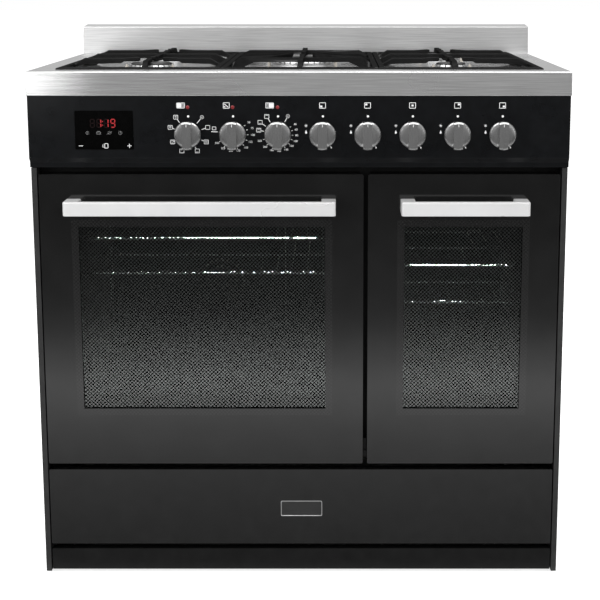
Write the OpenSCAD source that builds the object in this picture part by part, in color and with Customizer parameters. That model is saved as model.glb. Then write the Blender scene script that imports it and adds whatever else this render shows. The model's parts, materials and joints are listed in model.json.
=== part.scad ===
// Free-standing dual fuel range cooker: gas hob above, two electric ovens and a drawer.
// X runs to the right, the front faces -Y, and Z is up. The origin is on the floor,
// at the middle of the whole cooker's box.

/* [Overall] */
// Width of the hob plate
hob_w = 900; // [894:1:960]
// Depth of the hob plate, front to rear
hob_d = 600; // [590:1:650]
// Height of the hob plate above the floor
hob_z = 880; // [880:1:900]
// Height of the hob plate's front edge
hob_edge = 40; // [38:1:42]
// Thickness of the cabinet's sheet steel
sheet = 2; // [1.5:0.1:2.5]
// Space between the rear cover and the hob's rear edge
rear_space = 16; // [15:1:24]
// Width of the side panels' folded front edge
side_fold = 9; // [8:0.5:10]
// Gap between the side panels' bottom edge and the floor
side_clear = 4; // [3:1:8]

/* [Plinth and drawer] */
// Height of the plinth's bottom edge
plinth_z = 7; // [5:1:9]
// Height of the plinth
plinth_h = 38; // [34:1:40]
// Gap between the plinth and the drawer front
drawer_gap = 10; // [8:1:11]
// Height of the drawer front
drawer_h = 136; // [128:1:138]
// Gap between the drawer front and the doors
door_low_gap = 11; // [10:1:14]
// Depth of the drawer box behind its front
drawer_d = 480; // [380:5:500]
// Thickness of the folded drawer front
drawer_front_t = 18; // [14:1:22]
// Travel of the drawer
drawer_travel = 350; // [200:5:360]

/* [Doors] */
// Height of both doors
door_h = 506; // [500:1:507]
// Width of the main oven's door
main_door_w = 544; // [540:1:545]
// Width of the second oven's door
second_door_w = 322; // [319:0.5:323]
// Gap between the two doors
door_split = 7.5; // [7:0.25:9]
// Gap between a door's outer edge and the side panel's folded edge
door_side_gap = 2.25; // [1.5:0.25:3]
// Thickness of a door
door_t = 42; // [40:1:44]
// Thickness of the outer door glass
glass_t = 5; // [4:0.5:6]
// Thickness of the inner door glass
inner_glass_t = 4; // [3:0.5:5]
// Set-back of the door face from the hob's front edge
door_back = 10; // [8:1:12]
// Gap between a closed door and the front frame
seal_gap = 4; // [3.5:0.25:5]
// Height of the door windows
window_h = 318; // [300:1:320]
// Width of the main door's window
main_window_w = 415; // [400:1:416]
// Width of the second door's window
second_window_w = 199; // [190:1:202]
// Height of the windows above the door's bottom edge
window_rise = 99; // [96:1:110]
// Height of the hinge pivot above the door's bottom edge
pivot_rise = 12; // [11:0.5:13]
// Depth of the hinge pivot behind the door's face
pivot_depth = 18; // [17:0.5:20]
// Diameter of the hinge pins
hinge_pin_d = 8; // [6:0.5:9]

/* [Handles] */
// Length of the main door's handle
main_handle_w = 451; // [400:1:460]
// Length of the second door's handle
second_handle_w = 213; // [180:1:220]
// Height of the handle bar
handle_h = 23.4; // [18:0.1:28]
// How far the handle stands out of the door
handle_out = 42; // [40:1:60]
// Thickness of the handle bar
handle_t = 12; // [8:0.5:16]
// Width of the handle's end returns
handle_end = 24; // [16:1:30]
// Height of the handle's lower edge above the door's bottom edge
handle_rise = 441.6; // [436:0.1:450]

/* [Control panel] */
// Height of the control panel's flat face
panel_h = 103; // [98:1:103]
// Set-back of the panel face from the hob's front edge
panel_back = 2; // [1:0.5:4]
// Height of the inclined fold under the panel face
fold_h = 8; // [6:1:9]
// Height of the lip under the fold
lip_h = 9; // [7:1:9]
// Distance between knob centres
knob_pitch = 74.3; // [70:0.1:75]
// Place of the first knob, from the cooker's middle
knob_first_x = -184; // [-190:1:-176]
// Height of the knob centres above the panel face's lower edge
knob_rise = 39; // [34:1:42]
// Diameter of the knobs' disc
knob_d = 44; // [40:1:48]
// Length of the knobs' grip bar
grip_len = 46.5; // [42:0.5:50]
// Width of the knobs' grip bar
grip_w = 15; // [12:0.5:18]
// Height of the grip bar in front of the panel
knob_out = 30; // [26:1:36]
// Gap between the knobs and the panel
knob_gap = 5; // [4.5:0.1:6]
// Travel of a gas knob when it is pushed in
knob_push = 4; // [3:0.25:4]
// Diameter of the control spindles
spindle_d = 6; // [5:0.5:8]
// Width of the display glass
display_w = 96; // [80:1:100]
// Height of the display glass
display_h = 64; // [56:1:66]
// Place of the display's centre, from the cooker's middle
display_x = -323; // [-330:1:-318]
// Height of the display's centre above the panel face's lower edge
display_rise = 46; // [44:1:50]
// Diameter of the pilot lamps
lamp_d = 6; // [5:0.5:8]
// Height of the pilot lamps above the knob centres
lamp_rise = 45; // [40:1:46]

/* [Hob] */
// Depth of the pressed well below the hob's rim
well_depth = 8; // [6:1:10]
// Width of the hob's flat margin at each side
margin_side = 43; // [40:1:50]
// Depth of the hob's flat margin at the front
margin_front = 52; // [46:1:60]
// Depth of the well, front to rear
well_d = 488; // [484:1:492]
// Distance of the outer burners from the cooker's middle
burner_x = 262; // [255:1:268]
// Depth of the front burners behind the hob's front edge
burner_front = 160; // [150:1:170]
// Depth of the rear burners behind the hob's front edge
burner_rear = 420; // [410:1:430]
// Depth of the centre burner behind the hob's front edge
burner_mid = 296; // [290:1:300]
// Diameter of the two large outer burners' crowns
crown_large = 78; // [66:1:84]
// Diameter of the two small outer burners' crowns
crown_small = 58; // [50:1:64]
// Diameter of the centre burner's crown
crown_wok = 128; // [110:1:134]
// Height of the crowns above the well
crown_h = 10; // [9:0.5:10.5]
// Height of the pan supports above the well
grate_h = 21; // [20:1:24]
// Thickness of the pan supports' bars
grate_bar = 9; // [7:0.5:11]
// Depth of the bars between their feet
grate_web = 8; // [7:0.5:10]
// Gap between neighbouring pan supports
grate_gap = 2; // [1.5:0.5:4]
// Lift that takes a pan support off
grate_lift = 60; // [40:1:100]
// Height of the rear upstand at its front edge
upstand_h = 53; // [40:1:60]
// Rise of the upstand's top towards the rear
upstand_rise = 4; // [2:1:8]
// Depth of the rear upstand
upstand_d = 52; // [46:1:56]

/* [Ovens] */
// Inner width of the main oven
main_cavity_w = 450; // [440:1:452]
// Inner width of the second oven
second_cavity_w = 236; // [228:1:238]
// Inner height of both ovens
cavity_h = 365; // [360:1:370]
// Inner depth of both ovens
cavity_d = 405; // [400:1:410]
// Height of the ovens' floor above the door's bottom edge
cavity_rise = 73; // [70:1:76]
// Thickness of the insulation round the ovens
wool = 18; // [14:1:20]
// Space behind the fan cover
fan_space = 42; // [40:1:46]
// Diameter of the oven fan
fan_d = 150; // [130:1:156]
// Number of blades on the oven fan
fan_blades = 8; // [6:1:10]
// Diameter of the heating elements' tube
element_d = 6.5; // [6:0.5:8]
// Spacing of the fine shelf wires
shelf_pitch = 27; // [24:1:30]
// Height of the main oven's upper shelf above the oven floor
main_shelf_high = 308; // [304:1:309]
// Height of the main oven's lower shelf above the oven floor
main_shelf_low = 247; // [240:1:250]
// Height of the second oven's upper shelf above the oven floor
second_shelf_high = 260; // [256:1:264]
// Height of the second oven's lower shelf above the oven floor
second_shelf_low = 195; // [190:1:200]

/* [Services] */
// Outer diameter of the threaded gas inlet
gas_inlet_d = 20.95; // [17:0.05:22]
// Distance of the gas inlet from the cooker's middle
gas_inlet_x = 380; // [370:1:400]
// Diameter of the rear cover's hole that lets the hose union reach the gas inlet
union_hole_d = 34; // [30:1:40]
// Diameter of the anti-tip screw holes
tip_hole_d = 5.5; // [4.5:0.1:7]
// Distance between the two anti-tip screw holes
tip_hole_pitch = 400; // [300:1:500]
// Height of the anti-tip screw holes
tip_hole_z = 230; // [222:1:236]

/* [Hidden] */
$fn = 64;

// Clearances
run_fit = 0.05;
near = 0.3;
eps = 0.01;

// Depth stations, from front to rear
y_hob = -(hob_d + handle_out - door_back) / 2 + handle_out - door_back;
y_rear = y_hob + hob_d;
y_body = y_rear - rear_space;
y_panel = y_hob + panel_back;
y_door = y_hob + door_back;
y_frame = y_door + door_t + seal_gap;
y_mouth = y_frame + sheet;
y_pivot = y_door + pivot_depth;
y_back_in = y_mouth + cavity_d;
y_fan_cover = y_back_in - fan_space;

// Height stations, from the floor up
z_drawer = plinth_z + plinth_h + drawer_gap;
z_door = z_drawer + drawer_h + door_low_gap;
z_pivot = z_door + pivot_rise;
z_hob_low = hob_z - hob_edge;
z_panel = z_hob_low - panel_h;
z_knob = z_panel + knob_rise;
z_cavity = z_door + cavity_rise;
z_well = hob_z - well_depth;
z_grate = z_well + grate_h;

// Places across the front
front_w = main_door_w + door_split + second_door_w;
x_main = -front_w / 2 + main_door_w / 2;
x_second = front_w / 2 - second_door_w / 2;
x_split = x_main + main_door_w / 2 + door_split / 2;
x_side = front_w / 2 + door_side_gap + side_fold;

// The pan supports' zone
grate_zone_w = hob_w - 2 * margin_side;
grate_mid_half = 132;
grate_side_w = grate_zone_w / 2 - grate_mid_half - 2 * grate_gap;
grate_d = well_d - 2 * grate_gap;
y_grate = y_hob + margin_front + grate_gap;

// Frame and door details
frame_inset = 4;
door_corner = 3;
window_lap = 12;
inner_glass_lap = 10;
hinge_nose = 8;
hinge_bore_depth = 14;
hinge_pin_grip = 12;
outer_bracket_t = 3;
centre_bracket_t = 5;
centre_bracket_h = 28;
bracket_foot = 14;
flange = 12;

// Drawer details
drawer_side_gap = 36;
rail_t = 12;
rail_h = 22;
drawer_wall_h = 100;
drawer_wall_low = 12;

// Knob details
knob_disc_t = 9;
knob_edge = 2;
panel_hole_d = spindle_d + 4;
spindle_in_knob = 16;
spindle_in_tap = 14;
y_tap = y_panel + 16;
tap_w = 26;
tap_h = 34;
tap_depth = 46;
manifold_side = 20;
switch_d = 42;
switch_t = 30;

function knob_x(i) = knob_first_x + i * knob_pitch;

// Each burner: its place across, its depth and its crown's diameter
BURNERS = [
  [-burner_x, burner_front, crown_large],
  [-burner_x, burner_rear, crown_small],
  [0, burner_mid, crown_wok],
  [burner_x, burner_rear, crown_large],
  [burner_x, burner_front, crown_small]
];

module box(x0, x1, y0, y1, z0, z1) {
  translate([x0, y0, z0]) cube([x1 - x0, y1 - y0, z1 - z0]);
}

// A rectangle with round corners, centred
module round_rect(w, h, r) {
  square([w - 2 * r, h], center = true);
  square([w, h - 2 * r], center = true);
  for (sx = [-1, 1])
    for (sy = [-1, 1])
      translate([sx * (w / 2 - r), sy * (h / 2 - r)]) circle(r);
}

// A flat plate that faces the front, centred across at x and reaching from z up
module front_plate(x, z, w, h, r, y, t) {
  translate([x, y + t, z + h / 2]) rotate([90, 0, 0]) linear_extrude(t) round_rect(w, h, r);
}

// A round rod between two points that lie along one axis
module rod_x(x0, x1, y, z, d) {
  translate([x0, y, z]) rotate([0, 90, 0]) cylinder(h = x1 - x0, d = d);
}

module rod_y(y0, y1, x, z, d) {
  translate([x, y1, z]) rotate([90, 0, 0]) cylinder(h = y1 - y0, d = d);
}

module rod_z(z0, z1, x, y, d) {
  translate([x, y, z0]) cylinder(h = z1 - z0, d = d);
}

// A profile drawn in depth and height, run across the cooker
module run_across(x0, x1) {
  translate([x0, 0, 0]) rotate([90, 0, 90]) linear_extrude(x1 - x0) children();
}

// Cabinet

side_fold_d = 24;
side_rear_fold = 14;

module side_panel(side) {
  mirror([side > 0 ? 0 : 1, 0, 0]) {
    box(x_side - sheet, x_side, y_door + sheet, y_body, side_clear, z_side_front);
    box(x_side - sheet, x_side, y_panel + panel_step + lip_return + 1, y_body,
      z_side_front - 1, z_hob_low);
    box(x_side - side_fold, x_side, y_door, y_door + sheet, side_clear, z_side_front);
    box(x_side - side_fold, x_side - side_fold + sheet, y_door + sheet, y_door + side_fold_d,
      side_clear, z_side_front);
    box(x_side - side_rear_fold, x_side - sheet, y_body - 2 * sheet, y_body - sheet,
      side_clear, z_hob_low);
  }
}

z_side_front = z_panel - fold_h - lip_h - 1;

module left_side_panel() {
  color("#2a2a2d") side_panel(-1);
}

module right_side_panel() {
  color("#2a2a2d") side_panel(1);
}

slot_w = 60;
slot_h = 5;
slot_pitch = 14;
slot_rows = 6;

module rear_cover() {
  half = x_side - side_rear_fold - sheet;
  color("#8f9296")
  difference() {
    union() {
      box(-x_side + sheet, x_side - sheet, y_body - sheet, y_body, side_clear + sheet, z_hob_low);
      for (side = [-1, 1])
        box(side * half - sheet / 2, side * half + sheet / 2, y_body - 4 * sheet, y_body - sheet,
          z_cavity, z_hob_low - 40);
    }
    for (x = [-240, 0, 240])
      for (i = [0 : slot_rows - 1])
        box(x - slot_w, x + slot_w, y_body - 2 * sheet, y_body + 1,
          z_hob_low - 60 - i * slot_pitch, z_hob_low - 60 - i * slot_pitch + slot_h);
    rod_y(y_body - 2 * sheet, y_body + 1, gas_inlet_x, gas_inlet_z, union_hole_d);
    for (side = [-1, 1])
      rod_y(y_body - 2 * sheet, y_body + 1, side * tip_hole_pitch / 2, tip_hole_z, tip_hole_d);
    rod_y(y_body - 2 * sheet, y_body + 1, terminal_x, terminal_z, cable_hole_d);
  }
}

base_z = 28;
base_flange = 14;

module base_pan() {
  color("#8f9296")
  difference() {
    union() {
      box(-x_side + sheet, x_side - sheet, y_door + side_fold_d, y_body - 2 * sheet,
        base_z, base_z + sheet);
      box(-x_side + sheet, x_side - sheet, y_door + side_fold_d, y_door + side_fold_d + sheet,
        base_z, base_z + base_flange);
      for (side = [-1, 1])
        box(side * (x_side - 1.5 * sheet) - sheet / 2, side * (x_side - 1.5 * sheet) + sheet / 2,
          y_door + side_fold_d, y_body - 2 * sheet, base_z, base_z + base_flange);
    }
    for (sx = [-1, 1])
      for (y = foot_ys)
        rod_z(base_z - 1, base_z + sheet + 1, sx * foot_x, y, foot_stud_d + 2 * near);
  }
}

foot_x = 380;
foot_stud_d = 10;
foot_pad_d = 42;
foot_pad_h = 8;
foot_ys = [y_door + 70, y_body - 60];

module feet() {
  color("#1b1b1b")
  for (sx = [-1, 1])
    for (y = foot_ys)
      translate([sx * foot_x, y, 0]) {
        rotate_extrude()
          polygon([[0, 0], [foot_pad_d / 2 - 2, 0], [foot_pad_d / 2, 2],
            [foot_pad_d / 2, foot_pad_h - 3], [foot_stud_d, foot_pad_h], [0, foot_pad_h]]);
        cylinder(h = base_z + 3 * sheet, d = foot_stud_d);
        translate([0, 0, base_z - 8]) cylinder(h = 8, d = 17 / cos(30), $fn = 6);
      }
}

plinth_clip_in = 136.75;

module plinth() {
  half = front_w / 2;
  y0 = y_door + sheet;
  color("#232326") {
    box(-half, half, y0, y0 + sheet, plinth_z, plinth_z + plinth_h);
    box(-half, half, y0 + sheet, y0 + 16, plinth_z + plinth_h - sheet, plinth_z + plinth_h);
    box(-half, half, y0 + sheet, y0 + 12, plinth_z, plinth_z + sheet);
    for (x = [plinth_clip_in - half, 0, half - plinth_clip_in])
      box(x - 15, x + 15, y0 + sheet, y_door + side_fold_d, base_z + sheet, base_z + base_flange - 2);
  }
}

// The sheet behind the doors, with both oven mouths and slots for the hinge brackets
module front_frame() {
  low = z_door - 6;
  high = z_side_front + 8;
  leg = 30;
  half = x_side - side_fold - 1;
  color("#1c1c1e")
  difference() {
    union() {
      box(-half, half, y_frame, y_frame + sheet, low, high);
      for (side = [-1, 1]) {
        box(side * (half - leg / 2) - leg / 2, side * (half - leg / 2) + leg / 2,
          y_frame, y_frame + sheet, base_z + sheet, low);
        box(side * (x_side - sheet - 3.5) - 3.5, side * (x_side - sheet - 3.5) + 3.5,
          y_frame, y_frame + sheet, base_z + base_flange + 1, high);
      }
      box(-half, half, y_frame + sheet, y_frame + 18, low, low + sheet);
      box(-half, half, y_frame + sheet, y_frame + 18, high - sheet, high);
    }
    for (c = [[x_main, main_cavity_w], [x_second, second_cavity_w]])
      front_plate(c[0], z_cavity, c[1], cavity_h, cavity_corner, y_frame - 1, sheet + 2);
    for (x = bracket_xs)
      box(x[0] - x[1] / 2 - near, x[0] + x[1] / 2 + near, y_frame - 1, y_frame + sheet + 1,
        z_pivot - hinge_nose - near, z_pivot + x[2] + near);
  }
}

// Hinge brackets: centre, thickness and height above the pivot
bracket_xs = [
  [-front_w / 2 + outer_bracket_t / 2 + 0.5, outer_bracket_t, hinge_nose],
  [x_split, centre_bracket_t, centre_bracket_h],
  [front_w / 2 - outer_bracket_t / 2 - 0.5, outer_bracket_t, hinge_nose]
];

module hinge_bracket(x, t, up, pin_left, pin_right) {
  run_across(x - t / 2, x + t / 2) {
    translate([y_pivot, z_pivot]) circle(hinge_nose);
    translate([y_pivot, z_pivot - hinge_nose]) square([y_mouth - y_pivot, hinge_nose + up]);
  }
  box(x - t / 2 - (pin_left > 0 ? bracket_foot : 0), x + t / 2 + (pin_right > 0 ? bracket_foot : 0),
    y_mouth, y_mouth + 3, z_pivot - hinge_nose, z_pivot + up);
  rod_x(x - t / 2 - pin_left, x + t / 2 + pin_right, y_pivot, z_pivot, hinge_pin_d);
}

module hinge_brackets() {
  outer_reach = frame_inset - outer_bracket_t - 0.5 + hinge_pin_grip;
  inner_reach = (door_split - centre_bracket_t) / 2 + frame_inset + hinge_pin_grip;
  color("#77797c") {
    hinge_bracket(bracket_xs[0][0], bracket_xs[0][1], bracket_xs[0][2], 0, outer_reach);
    hinge_bracket(bracket_xs[1][0], bracket_xs[1][1], bracket_xs[1][2], inner_reach, inner_reach);
    hinge_bracket(bracket_xs[2][0], bracket_xs[2][1], bracket_xs[2][2], outer_reach, 0);
  }
}

// Control panel

panel_end = 7;
panel_w = hob_w - 2;
panel_step = 6;
lip_return = 14;

module panel_profile() {
  y_lip = y_panel + panel_step;
  z_lip = z_panel - fold_h - lip_h;
  polygon([
    [y_panel, z_hob_low], [y_panel, z_panel], [y_lip, z_panel - fold_h], [y_lip, z_lip],
    [y_lip + lip_return, z_lip], [y_lip + lip_return, z_lip + sheet],
    [y_lip + sheet, z_lip + sheet], [y_lip + sheet, z_panel - fold_h], [y_panel + sheet, z_panel],
    [y_panel + sheet, z_hob_low]
  ]);
}

module control_panel() {
  color("#1d1e22")
  difference() {
    union() {
      run_across(-panel_w / 2, panel_w / 2) panel_profile();
      for (side = [-1, 1])
        box(side * (panel_w / 2 - panel_end) - sheet / 2, side * (panel_w / 2 - panel_end) + sheet / 2,
          y_panel + sheet, y_door + side_fold_d + 10, z_panel, z_hob_low);
    }
    for (i = [0 : 7])
      rod_y(y_panel - 1, y_panel + sheet + 1, knob_x(i), z_knob, panel_hole_d);
    for (i = [0 : 2])
      rod_y(y_panel - 1, y_panel + sheet + 1, knob_x(i), z_knob + lamp_rise, lamp_d + 2 * run_fit);
    front_plate(display_x, z_panel + display_rise - display_h / 2 - near, display_w + 2 * near,
      display_h + 2 * near, 1 + near, y_panel - 1, sheet + 2);
  }
}

module display_module() {
  color("#101114") {
    front_plate(display_x, z_panel + display_rise - display_h / 2, display_w, display_h, 1,
      y_panel - 0.6, sheet + 0.6);
    front_plate(display_x, z_panel + display_rise - display_h / 2 - 4, display_w + 8, display_h + 8,
      2, y_panel + sheet, 22);
  }
}

module pilot_lamps() {
  color("#c01818")
  for (i = [0 : 2]) {
    rod_y(y_panel, y_panel + 14, knob_x(i), z_knob + lamp_rise, lamp_d);
    translate([knob_x(i), y_panel, z_knob + lamp_rise]) rotate([90, 0, 0])
      rotate_extrude() polygon([[0, 1.2], [lamp_d / 2 - 1.4, 1], [lamp_d / 2, 0], [0, 0]]);
    rod_y(y_panel + sheet, y_panel + sheet + 3, knob_x(i), z_knob + lamp_rise, lamp_d + 4);
  }
}

// Knobs: the local axis points out of the panel

module at_knob(i) {
  translate([knob_x(i), y_panel - knob_gap, z_knob]) rotate([90, 0, 0]) children();
}

module knob_form() {
  rotate_extrude()
    polygon([[0, 0], [knob_d / 2 - 1, 0], [knob_d / 2, 1], [knob_d / 2, knob_disc_t - knob_edge],
      [knob_d / 2 - knob_edge, knob_disc_t], [knob_d / 2 - 7, knob_disc_t + 1.2], [0, knob_disc_t + 1.2]]);
  intersection() {
    translate([-grip_w / 2, -grip_len / 2 - 1, 0.5]) cube([grip_w, grip_len, knob_out - knob_gap - 0.5]);
    rotate_extrude()
      polygon([[0, 0], [grip_len / 2 + 1, 0], [grip_len / 2 + 1, 11], [grip_len / 2 - 2, 15],
        [grip_len / 2 - 7, knob_out - knob_gap], [0, knob_out - knob_gap]]);
  }
}

// An oven control knob with its own spindle, which turns in the switch
module oven_knob(i) {
  color("#a9aba8") {
    at_knob(i) knob_form();
    rod_y(y_panel - knob_gap - 1, y_tap + spindle_in_tap, knob_x(i), z_knob, spindle_d);
  }
}

// A gas knob, which turns on the spindle and is pushed in with it
module gas_knob(i) {
  color("#a9aba8")
  difference() {
    at_knob(i) knob_form();
    rod_y(y_panel - knob_gap - spindle_in_knob, y_panel - knob_gap + 1, knob_x(i), z_knob,
      spindle_d + 2 * run_fit);
  }
}

module gas_spindle(i) {
  color("#b9bbbd")
  rod_y(y_panel - knob_gap - spindle_in_knob + near, y_tap + spindle_in_tap, knob_x(i), z_knob,
    spindle_d);
}

module main_function_knob() { oven_knob(0); }
module main_temperature_knob() { oven_knob(1); }
module second_oven_knob() { oven_knob(2); }
module front_left_knob() { gas_knob(3); }
module rear_left_knob() { gas_knob(4); }
module centre_knob() { gas_knob(5); }
module rear_right_knob() { gas_knob(6); }
module front_right_knob() { gas_knob(7); }
module front_left_spindle() { gas_spindle(3); }
module rear_left_spindle() { gas_spindle(4); }
module centre_spindle() { gas_spindle(5); }
module rear_right_spindle() { gas_spindle(6); }
module front_right_spindle() { gas_spindle(7); }

module gas_taps() {
  color("#b58f3c")
  for (i = [3 : 7])
    difference() {
      union() {
        box(knob_x(i) - tap_w / 2, knob_x(i) + tap_w / 2, y_tap, y_tap + tap_depth,
          z_knob - tap_h / 2, z_knob + tap_h / 2);
        rod_y(y_panel + sheet, y_tap + 1, knob_x(i), z_knob, tap_w - 4);
        rod_z(z_knob + tap_h / 2, z_knob + tap_h / 2 + 12, knob_x(i), y_tap + tap_depth / 2, 12);
      }
      rod_y(y_panel, y_tap + spindle_in_tap + knob_push + 1, knob_x(i), z_knob,
        spindle_d + 2 * run_fit);
    }
}

gas_inlet_z = z_knob;

module gas_manifold() {
  y0 = y_tap + tap_depth;
  y_pipe = y0 + manifold_side / 2;
  out = rear_space - 2;
  color("#8c8e90") {
    box(knob_x(3) - tap_w, gas_inlet_x + manifold_side / 2, y0, y0 + manifold_side,
      gas_inlet_z - manifold_side / 2, gas_inlet_z + manifold_side / 2);
    rod_y(y_pipe, y_body - 30, gas_inlet_x, gas_inlet_z, 16);
    rod_y(y_body - 30, y_body - sheet - 4, gas_inlet_x, gas_inlet_z, 26);
    rod_y(y_body - sheet - 4, y_body + out, gas_inlet_x, gas_inlet_z, gas_inlet_d);
  }
}

module oven_switches() {
  color("#d9d4c4")
  for (i = [0 : 2])
    difference() {
      union() {
        rod_y(y_tap, y_tap + switch_t, knob_x(i), z_knob, switch_d);
        rod_y(y_panel + sheet, y_tap + 1, knob_x(i), z_knob, tap_w - 4);
      }
      rod_y(y_panel, y_tap + spindle_in_tap + 1, knob_x(i), z_knob, spindle_d + 2 * run_fit);
    }
}

terminal_x = -300;
terminal_z = 150;
cable_hole_d = 22;

module terminal_block() {
  color("#2b2b2b")
  difference() {
    box(terminal_x - 45, terminal_x + 45, y_body, y_body + rear_space - 4,
      terminal_z - 35, terminal_z + 35);
    box(terminal_x - 41, terminal_x + 41, y_body - 1, y_body + rear_space - 7,
      terminal_z - 31, terminal_z + 31);
    rod_z(terminal_z - 36, terminal_z - 30, terminal_x, y_body + 5, 7);
  }
}

// Hob

module hob_top() {
  half = hob_w / 2;
  gz = grate_zone_w / 2;
  y0 = y_hob + margin_front;
  y1 = y0 + well_d;
  color("#b9babb")
  difference() {
    box(-half, half, y_hob, y_rear, z_hob_low, hob_z);
    box(-half + sheet, half - sheet, y_hob + sheet, y_rear - sheet, z_hob_low - 1,
      z_well - sheet);
    box(-gz, gz, y0, y1, z_well, hob_z + 1);
    for (b = BURNERS)
      rod_z(z_well - sheet - 1, z_well + 1, b[0], y_hob + b[1], b[2] - 10);
  }
}

module upstand() {
  y0 = y_rear - upstand_d;
  top0 = hob_z + upstand_h;
  top1 = top0 + upstand_rise;
  color("#b9babb")
  difference() {
    run_across(-hob_w / 2, hob_w / 2)
      polygon([[y0, hob_z], [y0, top0], [y_rear, top1], [y_rear, hob_z]]);
    run_across(-hob_w / 2 + sheet, hob_w / 2 - sheet)
      polygon([[y0 + sheet, hob_z - 1], [y0 + sheet, top0 - sheet], [y_rear - sheet, top1 - sheet],
        [y_rear - sheet, hob_z - 1]]);
  }
}

module at_burner(b) {
  translate([b[0], y_hob + b[1], z_well]) children();
}

module burner_bodies() {
  color("#9a9c9e")
  for (b = BURNERS)
    at_burner(b)
      rotate_extrude()
        polygon([[6, -24], [b[2] / 2 - 12, -24], [b[2] / 2 - 6, -8], [b[2] / 2 - 6, 0],
          [b[2] / 2 + 6, 0], [b[2] / 2 + 4, 3], [b[2] / 2 - 4, 4], [6, 4]]);
}

crown_lift = 4;
slot_t = 2.2;

module crown_ring(d, wall) {
  slots = round(d * 0.28);
  difference() {
    rotate_extrude()
      polygon([[d / 2 - wall, crown_lift], [d / 2 - 1, crown_lift], [d / 2 - 1, crown_lift + 2],
        [d / 2, crown_lift + 3], [d / 2 - 1.5, crown_h], [d / 2 - wall, crown_h]]);
    for (i = [0 : slots - 1])
      rotate([0, 0, i * 360 / slots])
        translate([d / 2 - wall - 1, -slot_t / 2, crown_h - 5]) cube([wall + 2, slot_t, 6]);
  }
}

wok_ring_w = 17;
wok_inner_d = 46;

module burner_crowns() {
  color("#d6d7d8")
  for (b = BURNERS)
    at_burner(b)
      if (b[2] == crown_wok) {
        crown_ring(crown_wok, wok_ring_w);
        crown_ring(wok_inner_d, 12);
        for (a = [0 : 120 : 240])
          rotate([0, 0, a])
            translate([wok_inner_d / 2 - 3, -5, crown_lift])
              cube([crown_wok / 2 - wok_ring_w - wok_inner_d / 2 + 6, 10, 4]);
      } else {
        crown_ring(b[2], b[2] / 2 - 8);
      }
}

cap_t = 3.5;

module cap_disc(d) {
  translate([0, 0, crown_h])
    rotate_extrude()
      polygon([[0, 0], [d / 2 - 1, 0], [d / 2, 1], [d / 2, 2], [d / 2 - 2, cap_t - 0.6],
        [d / 2 - 5, cap_t], [0, cap_t]]);
}

module burner_caps() {
  color("#161616")
  for (b = BURNERS)
    at_burner(b)
      if (b[2] == crown_wok) {
        translate([0, 0, crown_h])
          rotate_extrude()
            polygon([[crown_wok / 2 - wok_ring_w + 1, 0], [crown_wok / 2 - 3, 0],
              [crown_wok / 2 - 2, 1.4], [crown_wok / 2 - 5, cap_t],
              [crown_wok / 2 - wok_ring_w + 3, cap_t], [crown_wok / 2 - wok_ring_w + 1, 2]]);
        cap_disc(wok_inner_d - 4);
      } else {
        cap_disc(b[2] - 6);
      }
}

module igniters() {
  color("#efe9dc")
  for (b = BURNERS)
    for (a = [-35, 215])
      at_burner(b)
        rotate([0, 0, a]) translate([b[2] / 2 + 9.5, 0, 0]) {
          cylinder(h = 9, d = 6);
          translate([0, 0, 9]) cylinder(h = 3, d = 2.4);
        }
}

// Pan supports: arched bars on corner feet, with fingers that reach for the burners

foot_len = 22;
ramp_len = 26;

// An arched bar along X from the origin, its top at the supports' full height
module arched_bar(len) {
  rotate([90, 0, 0])
    translate([0, 0, -grate_bar])
      linear_extrude(grate_bar)
        polygon([[0, 0], [foot_len, 0], [foot_len + ramp_len, grate_h - grate_web],
          [len - foot_len - ramp_len, grate_h - grate_web], [len - foot_len, 0], [len, 0],
          [len, grate_h - 2], [len - 2, grate_h], [2, grate_h], [0, grate_h - 2]]);
}

finger_tip = 5;
finger_root = 11;
finger_rise = 1.6;
cap_clear = 1.5;

// A finger along X from the origin, thinner over the burner and slightly raised at its tip
module finger(len, over) {
  z_over = crown_h + cap_t + cap_clear;
  rotate([90, 0, 0])
    translate([0, 0, -grate_bar / 2])
      linear_extrude(grate_bar)
        polygon([[0, grate_h - finger_root], [len - over - 4, grate_h - finger_root + 2],
          [len - over, z_over], [len - 2, z_over], [len, z_over + 2], [len, grate_h + 1],
          [len - finger_tip, grate_h + finger_rise], [len - 6 * finger_tip, grate_h], [0, grate_h]]);
}

// A pan support with its low left corner at x and the fingers that each burner place asks for
module pan_support(x, w, spots) {
  translate([x, y_grate, z_well]) {
    arched_bar(w);
    translate([0, grate_d - grate_bar, 0]) arched_bar(w);
    translate([grate_bar, 0, 0]) rotate([0, 0, 90]) arched_bar(grate_d);
    translate([w, 0, 0]) rotate([0, 0, 90]) arched_bar(grate_d);
    if (len(spots) > 1)
      translate([0, grate_d / 2 - grate_bar / 2, 0]) arched_bar(w);
    for (s = spots) {
      clear = s[2];
      over = s[5] - clear + burner_lap;
      left = s[0] - grate_bar / 2 - clear;
      right = w - s[0] - grate_bar / 2 - clear;
      translate([grate_bar / 2, s[1], 0]) finger(left, over);
      translate([w - grate_bar / 2, s[1], 0]) rotate([0, 0, 180]) finger(right, over);
      translate([s[0], s[3] + grate_bar / 2, 0]) rotate([0, 0, 90])
        finger(s[1] - s[3] - grate_bar / 2 - clear, over);
      translate([s[0], s[4] - grate_bar / 2, 0]) rotate([0, 0, -90])
        finger(s[4] - grate_bar / 2 - s[1] - clear, over);
    }
  }
}

finger_clear = 20;
wok_clear = 30;
burner_lap = 10;
x_grate_left = -grate_zone_w / 2 + grate_gap;
x_grate_right = grate_mid_half + grate_gap;

function spot(x0, b, clear, low, high) =
  [b[0] - x0, b[1] - margin_front - grate_gap, clear, low, high, b[2] / 2];

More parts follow.
